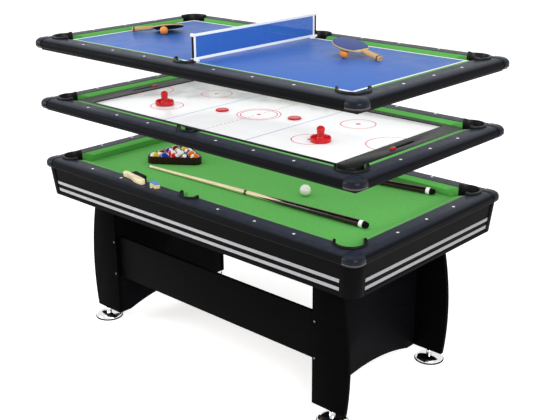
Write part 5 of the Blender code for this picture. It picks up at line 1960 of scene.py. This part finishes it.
@dataclass
class TennisTop(Assembly):
    """The blue board with white lines, and the net on its clamped posts."""

    body: str = "tennis_top"
    half_x: float = 0.796
    half_y: float = 0.371
    net_height: float = 0.104
    net_gap: float = 0.0065
    tape: float = 0.011
    post_width: float = 0.014
    post_depth: float = 0.006
    post_height: float = 0.113
    line: float = 0.013
    line_inset: float = 0.0012
    hem: float = 0.002
    film_half: float = 0.0003
    tape_half: float = 0.0009
    hem_share: float = 0.96
    clamp_depth: float = 0.005
    flute_circle: float = 0.0085

    def build(self) -> None:
        """Build the board, its lines, the net and the posts."""
        self.board()
        self.lines()
        self.net()
        self.posts()

    def board(self) -> None:
        """The blue board."""
        x, y = self.half_x, self.half_y
        board = eased((-x, -y, BED + SEAT), (x, y, BOARD_TOP), 0.0010, 2)
        self.add("tennis_blue_board", board, BLUE_TOP, "blue_board", ["tennis_board"], lift(TENNIS_TOP))

    def lines(self) -> None:
        """A thin white line along the board's four edges."""
        out_x, out_y = self.half_x - self.line_inset, self.half_y - self.line_inset
        in_x, in_y = out_x - self.line, out_y - self.line
        low, high = BOARD_TOP + 0.00005, BOARD_TOP + 0.00025
        sides = [
            block((-out_x, -out_y, low), (out_x, -in_y, high)),
            block((-out_x, in_y, low), (out_x, out_y, high)),
            block((-out_x, -in_y, low), (-in_x, in_y, high)),
            block((in_x, -in_y, low), (out_x, in_y, high)),
        ]
        self.add("tennis_edge_lines", merged(sides), LINE_WHITE, "blue_board", matrix=lift(TENNIS_TOP))

    def net(self) -> None:
        """The knotted net between white tapes at its head, foot and ends."""
        half = self.half_y - self.post_depth - JOINT
        place = lift(TENNIS_TOP + BOARD_TOP + SEAT + self.net_gap)
        inner = half - self.tape
        low, high = self.tape, self.net_height - self.tape
        side, hem = self.film_half, self.hem
        film = block((-side, -inner - hem, low - hem), (side, inner + hem, high + hem))
        netting = self.add("net_mesh", film, NET_MESH, "net_cord", ["net"], place, "net_rig")
        thick = self.tape_half
        thin = thick * self.hem_share
        tapes = [
            eased(near, far, 0.0004, 2)
            for near, far in (
                ((-thick, -half, high), (thick, half, self.net_height)),
                ((-thick, -half, 0.0), (thick, half, low)),
                ((-thin, -half, low), (thin, -inner, high)),
                ((-thin, inner, low), (thin, half, high)),
            )
        ]
        hems = self.add("net_tapes", merged(tapes), TAPE, "net_cord", (), place, "net_rig")

    def knob(self, outer: float) -> Mesh:
        """Build a clamp's fluted screw knob.

        Args:
            outer: the clamp's outer face, from the middle.

        Returns:
            The knob, with its axis along Y.
        """
        profile = [(0.0, 0.0), (0.0075, 0.0), (0.0080, 0.0008)]
        profile += [(0.0080, 0.0125), (0.0070, 0.0140), (0.0, 0.0140)]
        flute = disc(0.0013, 0.0030, 0.0160, 10)
        turns = [FULL_TURN * k / 12 for k in range(12)]
        r = self.flute_circle
        flutes = merged(moved(flute, shift(r * math.cos(a), r * math.sin(a))) for a in turns)
        knob = worked(turned(profile, 36), [flutes])
        return moved(knob, shift(0.0, outer - 0.0025, -0.014) @ rotation(-math.pi / 2, "X"))

    def posts(self) -> None:
        """Two posts: black faces between white end fittings, on clamps with screw knobs."""
        inner = self.half_y - self.post_depth
        outer = self.half_y + SEAT + self.clamp_depth
        half = self.post_width / 2
        top = self.post_height
        wide, face = half + 0.0006, inner - 0.0006
        slim = half - 0.0048
        foot = eased((-half, inner - 0.024, 0.0), (half, inner, 0.006), 0.0012)
        wings = eased((-0.015, self.half_y - 0.005, 0.0004), (0.015, outer - 0.0003, 0.0056), 0.0010)
        hook = eased((-half, self.half_y + SEAT, -0.022), (half, outer, 0.012), 0.0012)
        blade = eased((-slim, inner + 0.0005, 0.010), (slim, outer - 0.0020, top - 0.010), 0.0010)
        head = eased((-wide, face, top - 0.012), (wide, outer, top), 0.0020)
        collar = eased((-wide, face, 0.006), (wide, outer, 0.016), 0.0016)
        pieces = (
            ("", blade, POST_BLACK),
            ("_fittings", merged([head, collar, foot]), POST_WHITE),
            ("_clamp", merged([wings, hook]), POST_BLACK),
            ("_knob", self.knob(outer), POST_BLACK),
        )
        for side, turn in (("far", NO_TURN), ("near", HALF_TURN)):
            place = lift(TENNIS_TOP + BOARD_TOP + SEAT) @ turn
            for part, mesh, finish in pieces:
                name = f"net_post{part}_{side}"
                node = [] if part else [f"net_clamp_{side}"]
                self.add(name, moved(mesh, place), finish, "clamp_plastic", node, body="net_rig")


@dataclass
class Paddle(Assembly):
    """A paddle and the ball that it lies on."""

    side: str
    end: Flat
    angle: float
    roll: float
    pitch: float
    ball: Flat
    upper: Finish
    lower: Finish
    body: str = "tennis_top"
    blade: float = 0.146
    blade_length: float = 0.152
    ply: float = 0.006
    thickness: float = 0.010
    grip_length: float = 0.088
    grip_width: float = 0.028
    grip_height: float = 0.021
    ball_radius: float = 0.019
    grip_end: float = 0.098
    grip_stations: tuple[Flat, ...] = (
        (0.0, 0.90), (0.0012, 0.97), (0.004, 1.0), (0.014, 0.995),
        (0.035, 0.93), (0.060, 0.90), (0.080, 0.93), (0.092, 0.96),
    )
    band_stations: tuple[Flat, ...] = ((0.0060, 1.012), (0.0064, 1.02), (0.0126, 1.015), (0.0130, 1.007))

    def grip_rest(self) -> float:
        """The height of the grip's middle over the board when its edge lies on it."""
        return self.grip_width / 2 * math.sin(self.roll) + self.grip_height / 2 * math.cos(self.roll) + SEAT

    def outline(self, inset: float, heel: float = 1.0) -> list[Flat]:
        """Draw the blade.

        Args:
            inset: how far the outline is drawn in.
            heel: the share of its half length at which it is cut straight, near the grip.

        Returns:
            The outline's points.
        """
        middle = self.grip_length + self.blade_length / 2
        half_long, half_wide = self.blade_length / 2 - inset, self.blade / 2 - inset
        turns = [FULL_TURN * i / 72 for i in range(72)]
        return [(middle + half_long * max(math.cos(a), -heel), half_wide * math.sin(a)) for a in turns]

    def build(self) -> None:
        """Build the paddle and its ball in place."""
        level = TENNIS_TOP + BOARD_TOP + SEAT
        heading = rotation(self.angle)
        tilt = rotation(-self.pitch, "Y") @ rotation(-self.roll, "X")
        place = shift(*self.end, level + self.grip_rest()) @ heading @ tilt
        half = self.ply / 2
        ply = worked(slab(self.outline(0.0), -half, half), bevel=0.0010, segments=3, angle=50.0)
        self.show("blade", ply, PLY, place, [f"paddle_{self.side}"])
        for face, sign, finish in (("upper", 1, self.upper), ("lower", -1, self.lower)):
            low, high = sorted((sign * (half + 0.0001), sign * self.thickness / 2))
            rubber = worked(slab(self.outline(0.0015, 0.80), low, high), bevel=0.0006, segments=2, angle=50.0)
            self.show(f"rubber_{face}", rubber, finish, place)
        self.show("grip", self.grip_run(self.grip_stations, self.thickness), GRIP, place)
        self.show("grip_band", self.grip_run(self.band_stations), GRIP_DARK, place)
        spot = Vector((*self.end, level + self.ball_radius)) + heading @ Vector((*self.ball, 0.0))
        name = f"tennis_ball_{self.side}"
        ball = ball_mesh(self.ball_radius)
        self.add(f"{name}_shown", ball, ORANGE, "tennis_ball", [name], shift(*spot))

    def show(self, what: str, mesh: Mesh, finish: Finish, place: Matrix, nodes: Sequence[str] = ()) -> None:
        """Show one piece of the paddle."""
        self.add(f"paddle_{self.side}_{what}", mesh, finish, "paddle", nodes, place)

    def grip_ring(self, x: float, width: float, height: float, steps: int = 24) -> list[Point]:
        """Draw a rounded oblong across the grip.

        Args:
            x: its place along the grip.
            width: its width.
            height: its height.
            steps: how many points it has.

        Returns:
            Its points.
        """
        points = []
        for i in range(steps):
            turn = FULL_TURN * i / steps
            u, v = (math.copysign(abs(share) ** 0.55, share) for share in (math.cos(turn), math.sin(turn)))
            points.append((x, width / 2 * u, height / 2 * v))
        return points

    def grip_run(self, stations: Sequence[Flat], end_thickness: float = 0.0) -> Mesh:
        """Build a length of the flared grip.

        Args:
            stations: points of (place along the grip, share of its full section).
            end_thickness: the blade's thickness, where the length runs on into it.

        Returns:
            The length's mesh.
        """
        rings = [self.grip_ring(x, self.grip_width * s, self.grip_height * s) for x, s in stations]
        if end_thickness:
            rings.append(self.grip_ring(self.grip_end, self.grip_width * 0.92, end_thickness * 1.06))
        return lofted(rings)


@dataclass
class Studio:
    """The pale floor, the white surround, soft lamps and the camera."""

    lens: float = 60.95
    yaw: float = 42.400
    pitch: float = 19.993
    roll: float = -0.005
    eye: Point = (2.746, -2.876, 2.071)
    floor_glow: float = 0.64
    surround_light: float = 0.60
    tier_lamp_size: Flat = (1.70, 0.86)
    aim: Point = (0.0, 0.0, 0.8)
    floor_size: float = 30.0
    floor_level: float = -0.0005
    floor_grey: float = 0.93

    def build(self) -> None:
        """Build the floor, surround, lamps and camera."""
        self.floor()
        self.surround()
        self.lamps()
        self.camera()

    def rays_seen(self, tree: bpy.types.NodeTree) -> Socket:
        """Tell the rays that show a surface from those that only light others.

        Args:
            tree: the material's or the world's nodes.

        Returns:
            A value socket: 1 for camera, glossy and see-through rays, and 0 for the rest.
        """
        path = tree.nodes.new("ShaderNodeLightPath")
        seen = path.outputs["Is Camera Ray"]
        for name in ("Is Glossy Ray", "Is Transmission Ray"):
            either = tree.nodes.new("ShaderNodeMath")
            either.operation = "MAXIMUM"
            tree.links.new(seen, either.inputs[0])
            tree.links.new(path.outputs[name], either.inputs[1])
            seen = either.outputs["Value"]
        return seen

    def floor(self) -> None:
        """A wide pale floor that keeps the table's shadow."""
        shape = bmesh.new()
        bmesh.ops.create_grid(shape, x_segments=1, y_segments=1, size=self.floor_size)
        mesh = bpy.data.meshes.new("floor")
        shape.to_mesh(mesh)
        shape.free()
        floor = new_object("floor", mesh)
        floor.location = (0.0, 0.0, self.floor_level)
        paint = NodeGraph("pale floor")
        paint.shader.inputs["Base Color"].default_value = (*(self.floor_grey,) * 3, 1.0)
        paint.shader.inputs["Roughness"].default_value = 0.9
        paint.shader.inputs["Specular IOR Level"].default_value = 0.0
        tree = paint.material.node_tree
        glow = paint.nodes.new("ShaderNodeEmission")
        share = paint.math("MULTIPLY", self.rays_seen(tree), self.floor_glow)
        paint.link(share, glow.inputs["Strength"])
        both = paint.nodes.new("ShaderNodeAddShader")
        paint.link(paint.shader.outputs["BSDF"], both.inputs[0])
        paint.link(glow.outputs["Emission"], both.inputs[1])
        paint.link(both.outputs["Shader"], paint.nodes["Material Output"].inputs["Surface"])
        floor.data.materials.append(paint.material)

    def surround(self) -> None:
        """A white surround for the camera and for reflections, and soft light for the rest."""
        world = bpy.data.worlds.new("surround")
        bpy.context.scene.world = world
        world.use_nodes = True
        tree = world.node_tree
        back = tree.nodes["Background"]
        back.inputs["Color"].default_value = (1.0, 1.0, 1.0, 1.0)
        level = tree.nodes.new("ShaderNodeMapRange")
        level.inputs["To Min"].default_value = self.surround_light
        level.inputs["To Max"].default_value = 1.0
        tree.links.new(self.rays_seen(tree), level.inputs["Value"])
        tree.links.new(level.outputs["Result"], back.inputs["Strength"])

    def lamp(
        self, name: str, place: Point, power: float, size: float, width: float = 0.0
    ) -> bpy.types.Object:
        """Hang an area lamp that faces straight down.

        Args:
            name: the lamp's name.
            place: where it hangs.
            power: its power, in watts.
            size: its size along X.
            width: its size along Y, or 0 for a square.

        Returns:
            The lamp.
        """
        light = bpy.data.lights.new(name, "AREA")
        light.energy = power
        light.size = size
        if width:
            light.shape = "RECTANGLE"
            light.size_y = width
        lamp = bpy.data.objects.new(name, light)
        lamp.location = place
        bpy.context.scene.collection.objects.link(lamp)
        return lamp

    def lamps(self) -> None:
        """A large lamp overhead, softer ones at the sides, and one under each upper tier."""
        for name, place, size, power in (
            ("lamp_above", (-0.6, -0.6, 4.2), 3.0, 34.0),
            ("lamp_left", (-3.2, -3.0, 2.4), 2.0, 65.0),
            ("lamp_right", (3.4, -1.6, 2.6), 2.0, 85.0),
        ):
            aim = Vector(self.aim) - Vector(place)
            self.lamp(name, place, power, size).rotation_euler = aim.to_track_quat("-Z", "Y").to_euler()
        self.tier_lamp("lamp_under_hockey", "hockey_top", HOCKEY_TOP, 4.8)
        self.tier_lamp("lamp_under_tennis", "tennis_top", TENNIS_TOP, 5.2)

    def tier_lamp(self, name: str, body: str, top: float, power: float) -> None:
        """A wide soft lamp that rides under an upper tier and lights the tier below evenly.

        Args:
            name: the lamp's name.
            body: the tier's body.
            top: the height of the tier's rails.
            power: its power, in watts.
        """
        lamp = self.lamp(name, (0.0, 0.0, top + BED - 0.016), power, *self.tier_lamp_size)
        lamp.visible_camera = False
        lamp.visible_glossy = False
        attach(lamp, body)

    def camera(self) -> None:
        """The camera, at the picture's viewing angle."""
        lens = bpy.data.cameras.new("camera")
        lens.lens = self.lens
        lens.sensor_width = 36.0
        camera = bpy.data.objects.new("camera", lens)
        turn = rotation(math.radians(self.yaw)) @ rotation(math.radians(90.0 - self.pitch), "X")
        camera.matrix_world = shift(*self.eye) @ turn @ rotation(self.roll)
        bpy.context.scene.collection.objects.link(camera)
        bpy.context.scene.camera = camera
        bpy.context.scene.view_settings.view_transform = "Standard"


def paddles() -> list[Paddle]:
    """Pose the two paddles on their balls.

    Returns:
        The left and the right paddle.
    """
    radius, half_thick = Paddle.ball_radius, Paddle.thickness / 2
    half_grip, along = Paddle.grip_height / 2, 0.150
    reach = Paddle.grip_length + Paddle.blade_length / 2
    roll = math.radians(16.0)
    rest = Paddle.grip_width / 2 * math.sin(roll) + half_grip * math.cos(roll) + SEAT
    edge = Paddle.blade / 2 * math.sin(roll) + half_thick * math.cos(roll) + SEAT
    pitch = math.asin((edge - rest) / reach)
    over = radius + (radius + half_thick + SEAT) / (math.cos(roll) * math.cos(pitch))
    rise = over - rest - along * math.sin(pitch)
    ball = (along, -rise / math.tan(roll))
    turn = math.radians(46.0)
    left = Paddle("left", (-0.7368, -0.072), turn, roll, pitch, ball, RUBBER_BLACK, RUBBER_BLACK)
    drop = radius - half_grip - SEAT
    slope = math.atan2(drop, along) + math.asin((radius + half_thick + SEAT) / math.hypot(along, drop))
    turn = math.radians(176.0)
    right = Paddle("right", (0.5448, 0.123), turn, 0.0, slope, (along, 0.046), RUBBER_BLUE, RUBBER_BLACK)
    return [left, right]


def rings() -> list[RailRing]:
    """The three tiers' rail rings.

    Returns:
        The pool, hockey and tennis rings.
    """
    sides = ("near", "far", "left", "right")
    pool = RailRing(
        "pool",
        POOL_TOP,
        "table",
        {side: f"pool_rail_{side}" for side in sides},
        {corner: f"corner_cap_{corner}" for corner in CORNER_NAMES},
        {
            **{corner: f"corner_pocket_{corner}" for corner in CORNER_NAMES},
            "near": "side_pocket_near",
            "far": "side_pocket_far",
        },
        "pool_cloth",
        cups=True,
    )
    hockey = RailRing("hockey", HOCKEY_TOP, "hockey_top", {"near": "hockey_rail_ring"}, {}, {}, "hockey_base")
    tennis = RailRing("tennis", TENNIS_TOP, "tennis_top", {"near": "tennis_rail_ring"}, {}, {}, "tennis_base")
    return [pool, hockey, tennis]


def main() -> None:
    """Build the table's assemblies in order and report each."""
    assemblies = [
        *rings(),
        PoolBed(),
        Apron(),
        Underframe(),
        BallSet(),
        Cue("near_cue", (-0.5296, -0.186), math.radians(1.8), "cue_near"),
        Cue("far_cue", (-0.5472, 0.174), math.radians(8.4), "cue_far"),
        RailTools(),
        UpperBase("hockey", HOCKEY_TOP, "hockey_top", "hockey_base"),
        HockeyTop(),
        UpperBase("tennis", TENNIS_TOP, "tennis_top", "tennis_base"),
        TennisTop(),
        *paddles(),
        Studio(),
    ]
    for assembly in assemblies:
        log.info("building %s", type(assembly).__name__)
        assembly.build()


if __name__ == "__main__":
    main()
